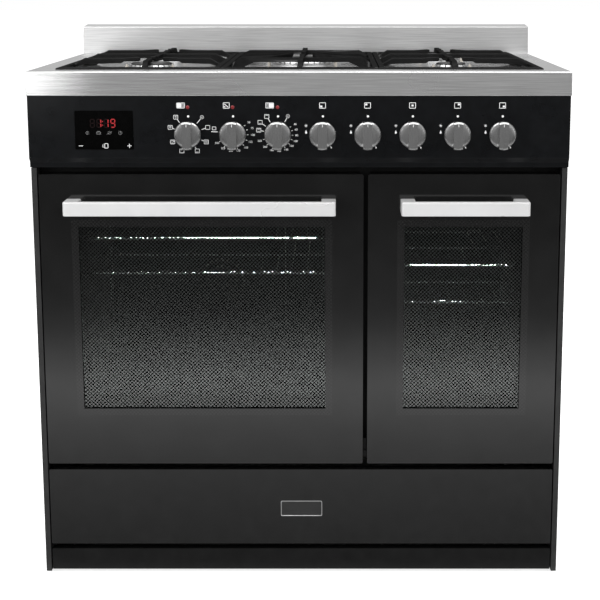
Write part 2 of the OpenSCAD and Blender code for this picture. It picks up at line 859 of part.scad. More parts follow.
module left_pan_support() {
  mid = grate_d / 2;
  color("#1a1a1a")
  pan_support(x_grate_left, grate_side_w, [
    spot(x_grate_left, BURNERS[0], finger_clear, 0, mid),
    spot(x_grate_left, BURNERS[1], finger_clear, mid, grate_d)
  ]);
}

module right_pan_support() {
  mid = grate_d / 2;
  color("#1a1a1a")
  pan_support(x_grate_right, grate_side_w, [
    spot(x_grate_right, BURNERS[4], finger_clear, 0, mid),
    spot(x_grate_right, BURNERS[3], finger_clear, mid, grate_d)
  ]);
}

module centre_pan_support() {
  w = 2 * grate_mid_half;
  wok_arm = (grate_mid_half - 0.7 * grate_bar) * sqrt(2);
  color("#1a1a1a") {
    pan_support(-grate_mid_half, w, [
      spot(-grate_mid_half, BURNERS[2], wok_clear, 0, grate_d)
    ]);
    translate([0, y_hob + burner_mid, z_well])
      for (a = [45 : 90 : 315])
        rotate([0, 0, a])
          translate([wok_arm, 0, 0])
            rotate([0, 0, 180])
              finger(wok_arm - wok_clear, crown_wok / 2 - wok_clear + burner_lap);
    for (y = [burner_mid - grate_mid_half + grate_bar, burner_mid + grate_mid_half - grate_bar])
      translate([-grate_mid_half, y_hob + y - grate_bar / 2, z_well]) arched_bar(w);
  }
}

// Ovens

cavity_corner = 14;
rail_wire = 5;
rail_off = 6;
rail_step = 4.5;
lowest_level = 40;
motor_hole_d = 18;
y_rail_front = y_mouth + 22;
y_rail_rear = y_fan_cover - 22;

module cavity(x, w, has_fan) {
  color("#2d2e33")
  difference() {
    union() {
      front_plate(x, z_cavity - sheet, w + 2 * sheet, cavity_h + 2 * sheet, cavity_corner + sheet,
        y_mouth, cavity_d + sheet);
      front_plate(x, z_cavity - flange, w + 2 * flange, cavity_h + 2 * flange, cavity_corner,
        y_mouth, sheet);
    }
    front_plate(x, z_cavity, w, cavity_h, cavity_corner, y_mouth - 1, cavity_d + 1);
    if (has_fan)
      rod_y(y_back_in - 1, y_back_in + sheet + 1, x, z_fan, motor_hole_d);
    rod_y(y_back_in - 1, y_back_in + sheet + 1, x + w / 2 - lamp_in, z_cavity + cavity_h - lamp_down,
      oven_lamp_d);
  }
}

lamp_in = 48;
lamp_down = 75;
oven_lamp_d = 34;
z_fan = z_cavity + cavity_h / 2 - 20;

module main_oven_cavity() { cavity(x_main, main_cavity_w, true); }
module second_oven_cavity() { cavity(x_second, second_cavity_w, false); }

module oven_lamps() {
  color("#f3ead2")
  for (c = [[x_main, main_cavity_w], [x_second, second_cavity_w]])
    translate([c[0] + c[1] / 2 - lamp_in, y_back_in, z_cavity + cavity_h - lamp_down])
      rotate([90, 0, 0]) {
        rotate_extrude()
          polygon([[0, 0], [oven_lamp_d / 2 + 5, 0], [oven_lamp_d / 2 + 5, 3], [oven_lamp_d / 2, 5],
            [oven_lamp_d / 2 - 3, 14], [oven_lamp_d / 2 - 9, 19], [0, 20]]);
        translate([0, 0, -34]) cylinder(h = 34, d = oven_lamp_d - 2 * near);
      }
}

module oven_insulation() {
  back = y_back_in + sheet;
  color("#d8c98e")
  for (c = [[x_main, main_cavity_w + 2 * sheet], [x_second, second_cavity_w + 2 * sheet]])
    difference() {
      box(c[0] - c[1] / 2 - wool, c[0] + c[1] / 2 + wool, y_mouth + 2 * sheet, back + wool,
        z_cavity - sheet - wool, z_cavity + cavity_h + sheet + wool);
      front_plate(c[0], z_cavity - sheet, c[1], cavity_h + 2 * sheet, cavity_corner + sheet,
        y_mouth, cavity_d + sheet);
      rod_y(back - 1, back + wool + 1, c[0] + c[1] / 2 - sheet - lamp_in, z_cavity + cavity_h - lamp_down,
        oven_lamp_d + 4);
      if (c[0] == x_main)
        rod_y(back - 1, back + wool + 1, x_main, z_fan, motor_d + 6);
    }
}

// A tube bent into a flat hairpin in plan, run back to the rear wall
module hairpin(x, z, w, y_front_end, y_rear_end) {
  bend = w / 2;
  rod_y(y_front_end + bend, y_rear_end, x - bend, z, element_d);
  rod_y(y_front_end + bend, y_rear_end, x + bend, z, element_d);
  translate([x, y_front_end + bend, z]) rotate([0, 0, 180]) rotate_extrude(angle = 180)
    translate([bend, 0]) circle(d = element_d);
}

grill_drop = 34;
fan_ring_d = 182;
ring_leg_x = 20;

module oven_elements() {
  z_grill = z_cavity + cavity_h - grill_drop;
  y_ring = y_back_in - fan_space / 2;
  color("#6f6a66") {
    hairpin(x_main, z_grill, 330, y_mouth + 60, y_back_in);
    hairpin(x_main, z_grill, 190, y_mouth + 110, y_back_in);
    hairpin(x_second, z_grill, 150, y_mouth + 70, y_back_in);
    translate([x_main, y_ring, z_fan]) rotate([90, 0, 0])
      rotate_extrude() translate([fan_ring_d / 2, 0]) circle(d = element_d);
    for (side = [-1, 1])
      rod_y(y_ring, y_back_in, x_main + side * ring_leg_x,
        z_fan - sqrt(pow(fan_ring_d / 2, 2) - pow(ring_leg_x, 2)), element_d + 3);
  }
}

fan_cover_w = 250;
fan_cover_h = 250;

module fan_cover() {
  color("#33343a")
  difference() {
    front_plate(x_main, z_fan - fan_cover_h / 2, fan_cover_w, fan_cover_h, 30, y_fan_cover, fan_space);
    front_plate(x_main, z_fan - fan_cover_h / 2 + sheet, fan_cover_w - 2 * sheet, fan_cover_h - 2 * sheet,
      28, y_fan_cover + sheet, fan_space);
    for (r = [14, 28, 42])
      for (i = [0 : r / 14 * 8 - 1])
        translate([x_main + r * cos(i * 45 * 14 / r), y_fan_cover - 1, z_fan + r * sin(i * 45 * 14 / r)])
          rotate([-90, 0, 0]) cylinder(h = sheet + 2, d = 7);
    for (side = [-1, 1])
      for (dz = [-70 : 35 : 70])
        box(x_main + side * fan_cover_w / 2 - sheet - 1, x_main + side * fan_cover_w / 2 + sheet + 1,
          y_fan_cover + 12, y_fan_cover + 30, z_fan + dz - 12, z_fan + dz + 12);
  }
}

motor_d = 78;
motor_t = 52;
motor_shaft_d = 8;

module fan_motor() {
  y0 = y_back_in + sheet;
  color("#9c9ea1")
  difference() {
    union() {
      rod_y(y0, y0 + 4, x_main, z_fan, motor_d);
      rod_y(y0 + 4, y0 + motor_t, x_main, z_fan, motor_d - 16);
    }
    rod_y(y0 - 1, y0 + motor_t - 8, x_main, z_fan, motor_shaft_d + 2 * run_fit);
  }
}

fan_t = 22;
hub_d = 26;

module oven_fan() {
  y1 = y_back_in - 8;
  color("#a7a9ab") {
    rod_y(y1 - fan_t, y_back_in + sheet + motor_t - 12, x_main, z_fan, motor_shaft_d);
    rod_y(y1 - fan_t, y1, x_main, z_fan, hub_d);
    rod_y(y1 - 1.5, y1, x_main, z_fan, fan_d - 30);
    for (i = [0 : fan_blades - 1])
      translate([x_main, y1, z_fan]) rotate([90, 360 / fan_blades * i, 0])
        translate([hub_d / 2 + 18, -0.75, 0]) rotate([0, 0, 18]) cube([fan_d / 2 - hub_d / 2 - 22, 1.5, fan_t]);
  }
}

// One wire ladder that carries the shelves on a side wall
module wire_ladder(x_wall, side, low_level, high_level) {
  x = x_wall - side * rail_off;
  pitch = high_level - low_level;
  z_low = z_cavity + 20;
  z_high = z_cavity + cavity_h - 20;
  for (y = [y_rail_front, y_rail_rear]) {
    rod_z(z_low, z_high, x, y, rail_wire);
    for (z = [z_low + 12, z_high - 12])
      rod_x(min(x, x_wall), max(x, x_wall), y, z, rail_wire);
  }
  for (i = [0 : floor((high_level - lowest_level) / pitch)])
    rod_y(y_rail_front - 10, y_rail_rear + 10, x - side * rail_step,
      z_cavity + high_level - rail_wire / 2 - i * pitch, rail_wire);
}

module shelf_rails() {
  color("#a8a9ab")
  for (side = [-1, 1]) {
    wire_ladder(x_main + side * main_cavity_w / 2, side, main_shelf_low, main_shelf_high);
    wire_ladder(x_second + side * second_cavity_w / 2, side, second_shelf_low, second_shelf_high);
  }
}

shelf_frame_d = 6;
shelf_cross_d = 5;
shelf_wire_d = 3;
shelf_wire_seat = 0.7;
shelf_side_gap = rail_off + rail_step + 2;

module wire_shelf(x, w, z_rest) {
  half = w / 2 - shelf_side_gap;
  z = z_rest + shelf_frame_d / 2 + near;
  y0 = y_mouth + 12;
  y1 = y_fan_cover - 10;
  wires = floor((2 * half - 2 * shelf_frame_d) / shelf_pitch);
  for (side = [-1, 1])
    rod_y(y0, y1, x + side * half, z, shelf_frame_d);
  for (y = [y0 + 6, (y0 + y1) / 2, y1 - 6])
    rod_x(x - half, x + half, y, z, shelf_cross_d);
  for (i = [0 : wires])
    rod_y(y0 + 1, y1 - 1, x + (i - wires / 2) * shelf_pitch, z + shelf_cross_d / 2 + shelf_wire_seat, shelf_wire_d);
}

module main_oven_shelves() {
  color("#b9babc")
  for (level = [main_shelf_low, main_shelf_high])
    wire_shelf(x_main, main_cavity_w, z_cavity + level);
}

module second_oven_shelves() {
  color("#b9babc")
  for (level = [second_shelf_low, second_shelf_high])
    wire_shelf(x_second, second_cavity_w, z_cavity + level);
}

gasket_w = 9;

module door_gaskets() {
  color("#3a3a3a")
  for (c = [[x_main, main_cavity_w], [x_second, second_cavity_w]])
    difference() {
      front_plate(c[0], z_cavity - gasket_w - 2, c[1] + 2 * gasket_w + 4, cavity_h + 2 * gasket_w + 4,
        cavity_corner + gasket_w + 2, y_frame - seal_gap + near, seal_gap - near);
      front_plate(c[0], z_cavity - 2, c[1] + 4, cavity_h + 4, cavity_corner + 2, y_frame - seal_gap, seal_gap + 1);
    }
}

// Doors

module door_glass(x, w) {
  color("#121214")
  front_plate(x, z_door, w, door_h, door_corner, y_door, glass_t);
}

module door_frame(x, w, win_w) {
  wide = w - 2 * frame_inset;
  open_w = win_w + 2 * window_lap;
  open_h = window_h + 2 * window_lap;
  z_open = z_door + window_rise - window_lap;
  color("#26262a")
  difference() {
    front_plate(x, z_door + 1, wide, door_h - 2, door_corner, y_door + glass_t, door_t - glass_t);
    front_plate(x, z_open, open_w, open_h, 6, y_door, door_t + 1);
    front_plate(x, z_open - inner_glass_lap, open_w + 2 * inner_glass_lap, open_h + 2 * inner_glass_lap,
      6, y_door + door_t - inner_glass_t, inner_glass_t + 1);
    for (side = [-1, 1])
      rod_x(min(x + side * wide / 2, x + side * (wide / 2 - hinge_bore_depth)) - (side < 0 ? 1 : 0),
        max(x + side * wide / 2, x + side * (wide / 2 - hinge_bore_depth)) + (side > 0 ? 1 : 0),
        y_pivot, z_pivot, hinge_pin_d + 2 * run_fit);
  }
}

module door_inner_glass(x, win_w) {
  open_w = win_w + 2 * window_lap;
  open_h = window_h + 2 * window_lap;
  z_open = z_door + window_rise - window_lap;
  color("#8fa0a3")
  front_plate(x, z_open - inner_glass_lap + near, open_w + 2 * inner_glass_lap - 2 * near,
    open_h + 2 * inner_glass_lap - 2 * near, 6 - near, y_door + door_t - inner_glass_t, inner_glass_t);
}

module door_handle(x, len) {
  r = 5;
  y0 = y_door - handle_out;
  color("#dcdddd")
  translate([x, 0, z_door + handle_rise])
    linear_extrude(handle_h)
      difference() {
        union() {
          translate([-len / 2 + r, y0]) square([len - 2 * r, handle_out]);
          translate([-len / 2, y0 + r]) square([len, handle_out - r]);
          for (side = [-1, 1])
            translate([side * (len / 2 - r), y0 + r]) circle(r);
        }
        translate([-len / 2 + handle_end, y0 + handle_t]) square([len - 2 * handle_end, handle_out]);
      }
}

module main_door_glass() { door_glass(x_main, main_door_w); }
module main_door_frame() { door_frame(x_main, main_door_w, main_window_w); }
module main_door_inner_glass() { door_inner_glass(x_main, main_window_w); }
module main_door_handle() { door_handle(x_main, main_handle_w); }
module second_door_glass() { door_glass(x_second, second_door_w); }
module second_door_frame() { door_frame(x_second, second_door_w, second_window_w); }
module second_door_inner_glass() { door_inner_glass(x_second, second_window_w); }
module second_door_handle() { door_handle(x_second, second_handle_w); }

// Drawer

module drawer_front() {
  half = front_w / 2;
  color("#232326")
  difference() {
    front_plate(0, z_drawer, front_w, drawer_h, 2, y_door, drawer_front_t);
    box(-half + sheet, half - sheet, y_door + sheet, y_door + drawer_front_t + 1,
      z_drawer + sheet, z_drawer + drawer_h - sheet);
  }
}

x_drawer_wall = front_w / 2 - drawer_side_gap;

module drawer_box() {
  y0 = y_door + sheet;
  y1 = y_door + drawer_front_t + drawer_d;
  z0 = z_drawer + drawer_wall_low;
  z1 = z0 + drawer_wall_h;
  z_rail = z0 + 40;
  color("#8f9296") {
    difference() {
      box(-x_drawer_wall, x_drawer_wall, y0, y1, z0, z1);
      box(-x_drawer_wall + sheet, x_drawer_wall - sheet, y0 + sheet, y1 - sheet, z0 + sheet, z1 + 1);
    }
    for (side = [-1, 1])
      box(side * (x_drawer_wall + 3) - 3, side * (x_drawer_wall + 3) + 3, y_door + drawer_front_t, y1,
        z_rail, z_rail + rail_h - 8);
  }
}

module drawer_rails() {
  z0 = z_drawer + drawer_wall_low + 40 - 4;
  x0 = x_drawer_wall + 6 + near;
  x1 = x_side - sheet;
  y0 = y_frame + sheet;
  y1 = y_door + drawer_front_t + drawer_d;
  color("#a6a8aa")
  for (side = [-1, 1])
    mirror([side > 0 ? 0 : 1, 0, 0]) {
      box(x0, x0 + sheet, y0, y1, z0, z0 + rail_h);
      box(x0 - 5, x0, y0, y1, z0, z0 + 4 - near);
      box(x0 - 5, x0, y0, y1, z0 + rail_h - 4 + near, z0 + rail_h);
      for (y = [y0 + 30, y1 - 60])
        box(x0 + sheet, x1, y, y + 20, z0 + 4, z0 + rail_h - 4);
    }
}

left_side_panel();
right_side_panel();
rear_cover();
base_pan();
plinth();
front_frame();
control_panel();
display_module();
pilot_lamps();
hob_top();
upstand();
burner_bodies();
burner_crowns();
burner_caps();
igniters();
main_oven_cavity();
second_oven_cavity();
oven_insulation();
oven_elements();
fan_cover();
fan_motor();
shelf_rails();
main_oven_shelves();
second_oven_shelves();
oven_lamps();
door_gaskets();
gas_taps();
gas_manifold();
oven_switches();
terminal_block();
drawer_rails();
hinge_brackets();
feet();
main_door_glass();
main_door_frame();
main_door_inner_glass();
main_door_handle();
second_door_glass();
second_door_frame();
second_door_inner_glass();
second_door_handle();
drawer_front();
drawer_box();
oven_fan();
main_function_knob();
main_temperature_knob();
second_oven_knob();
front_left_knob();
rear_left_knob();
centre_knob();
rear_right_knob();
front_right_knob();
front_left_spindle();
rear_left_spindle();
centre_spindle();
rear_right_spindle();
front_right_spindle();
left_pan_support();
centre_pan_support();
right_pan_support();
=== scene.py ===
"""Dual fuel range cooker: its materials, small surface pieces, camera and light."""

import json
import math

import bmesh
import bpy
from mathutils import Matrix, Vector

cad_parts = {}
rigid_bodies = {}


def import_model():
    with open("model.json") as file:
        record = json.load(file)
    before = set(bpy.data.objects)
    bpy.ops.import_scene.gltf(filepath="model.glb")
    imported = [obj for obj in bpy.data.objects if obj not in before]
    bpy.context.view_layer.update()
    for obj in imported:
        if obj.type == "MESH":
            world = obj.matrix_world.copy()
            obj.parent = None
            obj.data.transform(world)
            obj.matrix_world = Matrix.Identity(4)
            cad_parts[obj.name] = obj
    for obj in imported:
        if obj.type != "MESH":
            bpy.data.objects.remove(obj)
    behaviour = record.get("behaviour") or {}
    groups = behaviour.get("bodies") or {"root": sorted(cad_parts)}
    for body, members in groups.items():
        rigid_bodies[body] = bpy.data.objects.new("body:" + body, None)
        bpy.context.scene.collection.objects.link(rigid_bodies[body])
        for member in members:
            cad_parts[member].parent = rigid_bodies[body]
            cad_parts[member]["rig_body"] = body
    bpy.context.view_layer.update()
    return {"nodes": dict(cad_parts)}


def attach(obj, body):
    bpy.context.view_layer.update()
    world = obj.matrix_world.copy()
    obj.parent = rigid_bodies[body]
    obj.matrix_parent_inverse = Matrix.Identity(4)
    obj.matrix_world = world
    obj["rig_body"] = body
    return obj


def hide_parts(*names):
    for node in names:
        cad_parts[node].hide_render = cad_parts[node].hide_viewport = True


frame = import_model()
NODES = frame["nodes"]
MM = 0.001

# Stations of the CAD model, in millimetres
Y_HOB = -284.0
Y_BODY = 300.0
Y_PANEL = -282.0
Y_DISPLAY = -282.6
Y_DOOR = -274.0
Y_MOUTH = -226.0
Z_KNOB = 776.0
Z_HOB = 880.0
HOB_W = 900.0
Z_CAVITY = 275.0
CAVITY_H = 365.0
GLASS_T = 5.0
WINDOW_Z = (301.0, 619.0)
X_MAIN = -164.75
X_SECOND = 275.75
MAIN_WINDOW_W = 415.0
SECOND_WINDOW_W = 199.0
KNOB_PITCH = 74.3
KNOB_FIRST_X = -184.0
KNOB_GAP = 5.0

KNOBS = [
    "main_function_knob", "main_temperature_knob", "second_oven_knob", "front_left_knob",
    "rear_left_knob", "centre_knob", "rear_right_knob", "front_right_knob",
]


def knob_x(index):
    return KNOB_FIRST_X + index * KNOB_PITCH


# Materials


class Surface:
    """A principled material whose values vary over the surface."""

    def __init__(self, name, rough=0.5, metallic=0.0, specular=0.5):
        self.mat = bpy.data.materials.new(name)
        self.mat.use_nodes = True
        self.tree = self.mat.node_tree
        self.nodes = self.tree.nodes
        self.shader = next(n for n in self.nodes if n.type == "BSDF_PRINCIPLED")
        self.output = next(n for n in self.nodes if n.type == "OUTPUT_MATERIAL")
        self.set("Roughness", rough)
        self.set("Metallic", metallic)
        self.set("Specular IOR Level", specular)
        self.coord = self.nodes.new("ShaderNodeTexCoord").outputs["Object"]

    def set(self, socket, value):
        self.shader.inputs[socket].default_value = value
        return self

    def link(self, source, target):
        self.tree.links.new(source, target)

    def noise(self, scale, stretch=(1, 1, 1), detail=3.0, roughness=0.55):
        """Noise over the object's own coordinates, in cycles a metre."""
        mapping = self.nodes.new("ShaderNodeMapping")
        mapping.inputs["Scale"].default_value = stretch
        self.link(self.coord, mapping.inputs["Vector"])
        noise = self.nodes.new("ShaderNodeTexNoise")
        noise.inputs["Scale"].default_value = scale
        noise.inputs["Detail"].default_value = detail
        noise.inputs["Roughness"].default_value = roughness
        self.link(mapping.outputs["Vector"], noise.inputs["Vector"])
        return noise.outputs["Fac"]

    def spread(self, fac, low, high, from_low=0.3, from_high=0.7):
        """A value that runs from low to high with fac."""
        node = self.nodes.new("ShaderNodeMapRange")
        node.inputs["From Min"].default_value = from_low
        node.inputs["From Max"].default_value = from_high
        node.inputs["To Min"].default_value = low
        node.inputs["To Max"].default_value = high
        self.link(fac, node.inputs["Value"])
        return node.outputs["Result"]

    def math(self, operation, first, second=None):
        node = self.nodes.new("ShaderNodeMath")
        node.operation = operation
        for socket, value in zip(node.inputs, (first, second)):
            if value is None:
                continue
            if isinstance(value, (int, float)):
                socket.default_value = value
            else:
                self.link(value, socket)
        return node.outputs["Value"]

    def blend(self, fac, first, second):
        """Mixes two colours, each a tuple or an output."""
        node = self.nodes.new("ShaderNodeMix")
        node.data_type = "RGBA"
        colour_in = [s for s in node.inputs if s.type == "RGBA"]
        for socket, value in zip(colour_in, (first, second)):
            if isinstance(value, tuple):
                socket.default_value = (*value, 1.0)
            else:
                self.link(value, socket)
        self.link(fac, node.inputs["Factor"])
        return next(s for s in node.outputs if s.type == "RGBA")

    def colour(self, first, second, fac):
        self.link(self.blend(fac, first, second), self.shader.inputs["Base Color"])
        return self

    def roughness(self, low, high, fac):
        self.link(self.spread(fac, low, high), self.shader.inputs["Roughness"])
        return self

    def bump(self, fac, strength, distance):
        node = self.nodes.new("ShaderNodeBump")
        node.inputs["Strength"].default_value = strength
        node.inputs["Distance"].default_value = distance
        self.link(fac, node.inputs["Height"])
        self.link(node.outputs["Normal"], self.shader.inputs["Normal"])
        return self


def grey(value, blue=0.0):
    """A neutral tone, a little blue where asked."""
    return (value, value * (1 + blue * 0.35), value * (1 + blue))


SCRATCH_DEPTH = 0.00002


def brushed(name, tone, stretch, rough, scale, contrast=0.12, streak=0.0):
    """Brushed metal whose fine scratches run along the axis with the small stretch.

    A streak above 0 blurs its reflections across the scratches, for scratches that run along X.
    """
    s = Surface(name, rough, 1.0)
    fine = s.noise(scale, stretch, detail=4.0)
    wide = s.noise(5.0, detail=2.0)
    s.colour(grey(tone * (1 - contrast)), grey(tone * (1 + contrast)), s.spread(fine, 0, 1))
    s.roughness(rough - 0.02, rough + 0.02, wide)
    s.bump(fine, 0.2, SCRATCH_DEPTH)
    if streak:
        s.set("Anisotropic", streak)
        s.set("Anisotropic Rotation", 0.25)
    return s.mat


def painted(name, first, second, rough, grain=60.0, bump_scale=220.0, strength=0.15,
            distance=0.00005, metallic=0.0, coat=0.0, specular=0.5):
    """Paint, enamel or plastic with a soft drift in tone and gloss, and a fine surface."""
    s = Surface(name, rough, metallic, specular)
    drift = s.noise(grain, detail=3.0)
    s.colour(first, second, s.spread(drift, 0, 1))
    s.roughness(max(0.02, rough - 0.05), rough + 0.06, s.noise(grain * 0.4, detail=2.0))
    s.bump(s.noise(bump_scale, detail=2.0), strength, distance)
    if coat:
        s.set("Coat Weight", coat)
        s.set("Coat Roughness", 0.04)
    return s.mat


def speckled(name, base, dot, rough):
    """Oven enamel: a dark ground with fine pale specks."""
    s = Surface(name, rough, 0.0, 0.3)
    speck = s.spread(s.noise(900.0, detail=1.0), 0, 1, 0.66, 0.72)
    s.colour(base, dot, speck)
    s.roughness(rough - 0.04, rough + 0.06, s.noise(12.0))
    s.bump(s.noise(60.0, detail=2.0), 0.12, 0.0002)
    return s.mat


def cast_iron(name, tone, gloss):
    """Matt black enamel on cast iron: a grainy ground under a weak, even sheen."""
    s = Surface(name, 0.6, 0.0, 0.0)
    grain = s.noise(900.0, detail=4.0, roughness=0.7)
    s.colour(grey(tone * 0.7), grey(tone * 1.4), s.spread(s.noise(90.0), 0, 1))
    s.bump(grain, 0.4, 0.0002)
    sheen = s.nodes.new("ShaderNodeBsdfGlossy")
    sheen.inputs["Roughness"].default_value = 0.26
    normal = s.shader.inputs["Normal"].links[0].from_socket
    s.link(normal, sheen.inputs["Normal"])
    s.link(shader_mix(s, gloss, s.shader.outputs[0], sheen.outputs[0]), s.output.inputs["Surface"])
    return s.mat


def glowing(name, colour, strength):
    """A lit lamp or digit: the glow drifts slightly over its face."""
    s = Surface(name, 0.4)
    s.set("Base Color", (*colour, 1.0))
    s.set("Emission Color", (*colour, 1.0))
    drift = s.spread(s.noise(400.0), strength * 0.85, strength * 1.15)
    s.link(drift, s.shader.inputs["Emission Strength"])
    return s.mat


# Geometry helpers: every length below is in millimetres


SHARP_ANGLE = math.radians(35.0)


def to_object(name, bm, mats, body, smooth=True):
    """Turns a bmesh in millimetres into a piece that rides on a CAD body."""
    bmesh.ops.scale(bm, vec=(MM, MM, MM), verts=bm.verts)
    mesh = bpy.data.meshes.new(name)
    bm.to_mesh(mesh)
    bm.free()
    for mat in mats if isinstance(mats, list) else [mats]:
        mesh.materials.append(mat)
    if smooth:
        mesh.shade_smooth()
        mesh.set_sharp_from_angle(angle=SHARP_ANGLE)
    obj = bpy.data.objects.new(name, mesh)
    bpy.context.scene.collection.objects.link(obj)
    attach(obj, body)
    return obj


def prism(bm, points, y_front, depth):
    """A flat shape in the panel's plane, given as (x, z) points, with its face at y_front."""
    front = [bm.verts.new((x, y_front, z)) for x, z in points]
    back = [bm.verts.new((x, y_front + depth, z)) for x, z in points]
    bm.faces.new(front)
    bm.faces.new(back[::-1])
    for i in range(len(points)):
        j = (i + 1) % len(points)
        bm.faces.new((front[j], front[i], back[i], back[j]))


def ring_points(x, z, radius, count=24, start=0.0, end=360.0):
    closed = abs(end - start) >= 360
    steps = count if closed else count + 1
    angles = [math.radians(start + (end - start) * i / count) for i in range(steps)]
    return [(x + radius * math.cos(a), z + radius * math.sin(a)) for a in angles]


class Ink:
    """Thin printed shapes on the control panel, gathered into one mesh."""

    def __init__(self, y_face, rise=0.06):
        self.bm = bmesh.new()
        self.y = y_face - rise
        self.depth = rise + 0.05

    def shape(self, points):
        prism(self.bm, points, self.y, self.depth)

    def disc(self, x, z, radius, count=20):
        self.shape(ring_points(x, z, radius, count))

    def bar(self, x0, z0, x1, z1):
        self.shape([(x0, z0), (x1, z0), (x1, z1), (x0, z1)])

    def stroke(self, points, width=0.45):
        """A line of even width through the points."""
        for (xa, za), (xb, zb) in zip(points, points[1:]):
            length = math.hypot(xb - xa, zb - za)
            if length < 1e-6:
                continue
            ux, uz = (xb - xa) / length, (zb - za) / length
            nx, nz = -uz * width / 2, ux * width / 2
            ex, ez = ux * width * 0.25, uz * width * 0.25
            self.shape([(xa - ex + nx, za - ez + nz), (xa - ex - nx, za - ez - nz),
                        (xb + ex - nx, zb + ez - nz), (xb + ex + nx, zb + ez + nz)])

    def frame(self, x, z, w, h, width=0.5):
        """An open rectangle round (x, z)."""
        a, b, c, d = x - w / 2, x + w / 2, z - h / 2, z + h / 2
        self.stroke([(a, c), (b, c), (b, d), (a, d), (a, c)], width)

    def circle(self, x, z, radius, width=0.45, start=0.0, end=360.0, count=20):
        points = ring_points(x, z, radius, count, start, end)
        if end - start >= 360:
            points.append(points[0])
        self.stroke(points, width)

    def number(self, text, x, z, height):
        """A plain number centred on (x, z), in Blender's own typeface."""
        curve = bpy.data.curves.new("number", "FONT")
        curve.body = text
        curve.size = height / 0.7
        curve.align_x = "CENTER"
        curve.align_y = "CENTER"
        holder = bpy.data.objects.new("number", curve)
        mesh = bpy.data.meshes.new_from_object(holder)
        found = [self.bm.verts.new((x + v.co.x, self.y, z + v.co.y)) for v in mesh.vertices]
        for p in mesh.polygons:
            self.bm.faces.new([found[i] for i in p.vertices])
        bpy.data.objects.remove(holder)
        bpy.data.curves.remove(curve)
        bpy.data.meshes.remove(mesh)

    def piece(self, name, mat, slot):
        bmesh.ops.recalc_face_normals(self.bm, faces=self.bm.faces)
        return to_object(name, self.bm, mat, "cooker", smooth=False)


def body_of_node(node):
    return NODES[node]["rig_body"]


def paint(node, mat):
    """Gives a CAD node its finished material."""
    mesh = NODES[node].data
    mesh.materials.clear()
    mesh.materials.append(mat)


MERGE_WITHIN = 0.02
EDGE_ANGLE = math.radians(30.0)
LONG_EDGE = 15.0


def rounded_copy(node, mat, width, segments=3, folds=None, cuts=(), reshape=None):
    """A copy of a CAD node with small radii on its edges, which stands for the node.

    With folds, a list of (test, radius), only long straight edges are rounded, each by the first
    radius whose test takes the edge's middle, in millimetres. Before that, cuts, a list of
    (axis, place), adds corners where planes cross the mesh, and reshape moves single corners.
    """
    bm = bmesh.new()
    bm.from_mesh(NODES[node].data)
    bmesh.ops.remove_doubles(bm, verts=bm.verts, dist=MERGE_WITHIN * MM)
    for axis, at in cuts:
        normal = Vector((axis == "x", axis == "y", 0.0))
        cut = bmesh.ops.bisect_plane(bm, geom=bm.verts[:] + bm.edges[:] + bm.faces[:],
                                     plane_co=normal * at * MM, plane_no=normal)
        for made in cut["geom_cut"]:
            if isinstance(made, bmesh.types.BMEdge):
                made.seam = True
    if reshape:
        for vert in bm.verts:
            vert.co = reshape(vert.co / MM) * MM
    bmesh.ops.dissolve_limit(bm, angle_limit=math.radians(1.0), verts=bm.verts, edges=bm.edges,
                             delimit={"SEAM"})
    if folds:
        weigh_folds(bm, folds, width)
    mesh = bpy.data.meshes.new(node + "_finished")
    bm.to_mesh(mesh)
    bm.free()
    mesh.materials.append(mat)
    for polygon in mesh.polygons:
        polygon.material_index = 0
    mesh.shade_smooth()
    if folds:
        mesh.set_sharp_from_angle(angle=EDGE_ANGLE)
    obj = bpy.data.objects.new(node + "_finished", mesh)
    bpy.context.scene.collection.objects.link(obj)
    bevel = obj.modifiers.new("edges", "BEVEL")
    bevel.width = width * MM
    bevel.segments = segments
    bevel.limit_method = "WEIGHT" if folds else "ANGLE"
    bevel.angle_limit = EDGE_ANGLE
    bevel.use_clamp_overlap = not folds
    bevel.miter_outer = "MITER_SHARP"
    if not folds:
        flat = obj.modifiers.new("flat", "WEIGHTED_NORMAL")
        flat.mode = "FACE_AREA"
        flat.weight = 100
        flat.keep_sharp = True
    apply_modifiers(obj)
    if folds:
        flatten_sheets(obj.data, width)
    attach(obj, body_of_node(node))
    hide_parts(node)
    return obj


def flatten_sheets(mesh, width):
    """Shades the sheet's own faces flat, and leaves only the narrow strips of its folds smooth."""
    for polygon in mesh.polygons:
        corners = [mesh.vertices[i].co for i in polygon.vertices]
        longest = max((a - b).length for a, b in zip(corners, corners[1:] + corners[:1]))
        in_a_fold = max(abs(part) for part in polygon.normal) < 0.995
        polygon.use_smooth = in_a_fold and polygon.area / longest < 0.6 * width * MM


def weigh_folds(bm, folds, width):
    """Marks the long sharp edges with their share of the bevel's width."""
    layer = bm.edges.layers.float.new("bevel_weight_edge")
    for edge in bm.edges:
        if len(edge.link_faces) != 2 or edge.calc_length() < LONG_EDGE * MM:
            continue
        if edge.calc_face_angle(0.0) < EDGE_ANGLE:
            continue
        middle = (edge.verts[0].co + edge.verts[1].co) / 2 / MM
        for test, radius in folds:
            if test(middle):
                edge[layer] = radius / width
                break


def apply_modifiers(obj):
    """Bakes the piece's modifiers into its mesh."""
    bpy.context.view_layer.update()
    graph = bpy.context.evaluated_depsgraph_get()
    baked = bpy.data.meshes.new_from_object(obj.evaluated_get(graph))
    obj.modifiers.clear()
    old = obj.data
    obj.data = baked
    bpy.data.meshes.remove(old)


# Door glass: clear gloss in front, a printed mask on its rear face

HOLE_PITCH = 6.4
HOLE_RADIUS = 1.85
HOLE_MIRROR = 0.15
DOT_BORDER = 12.0
DOOR_GLOSS = 0.11


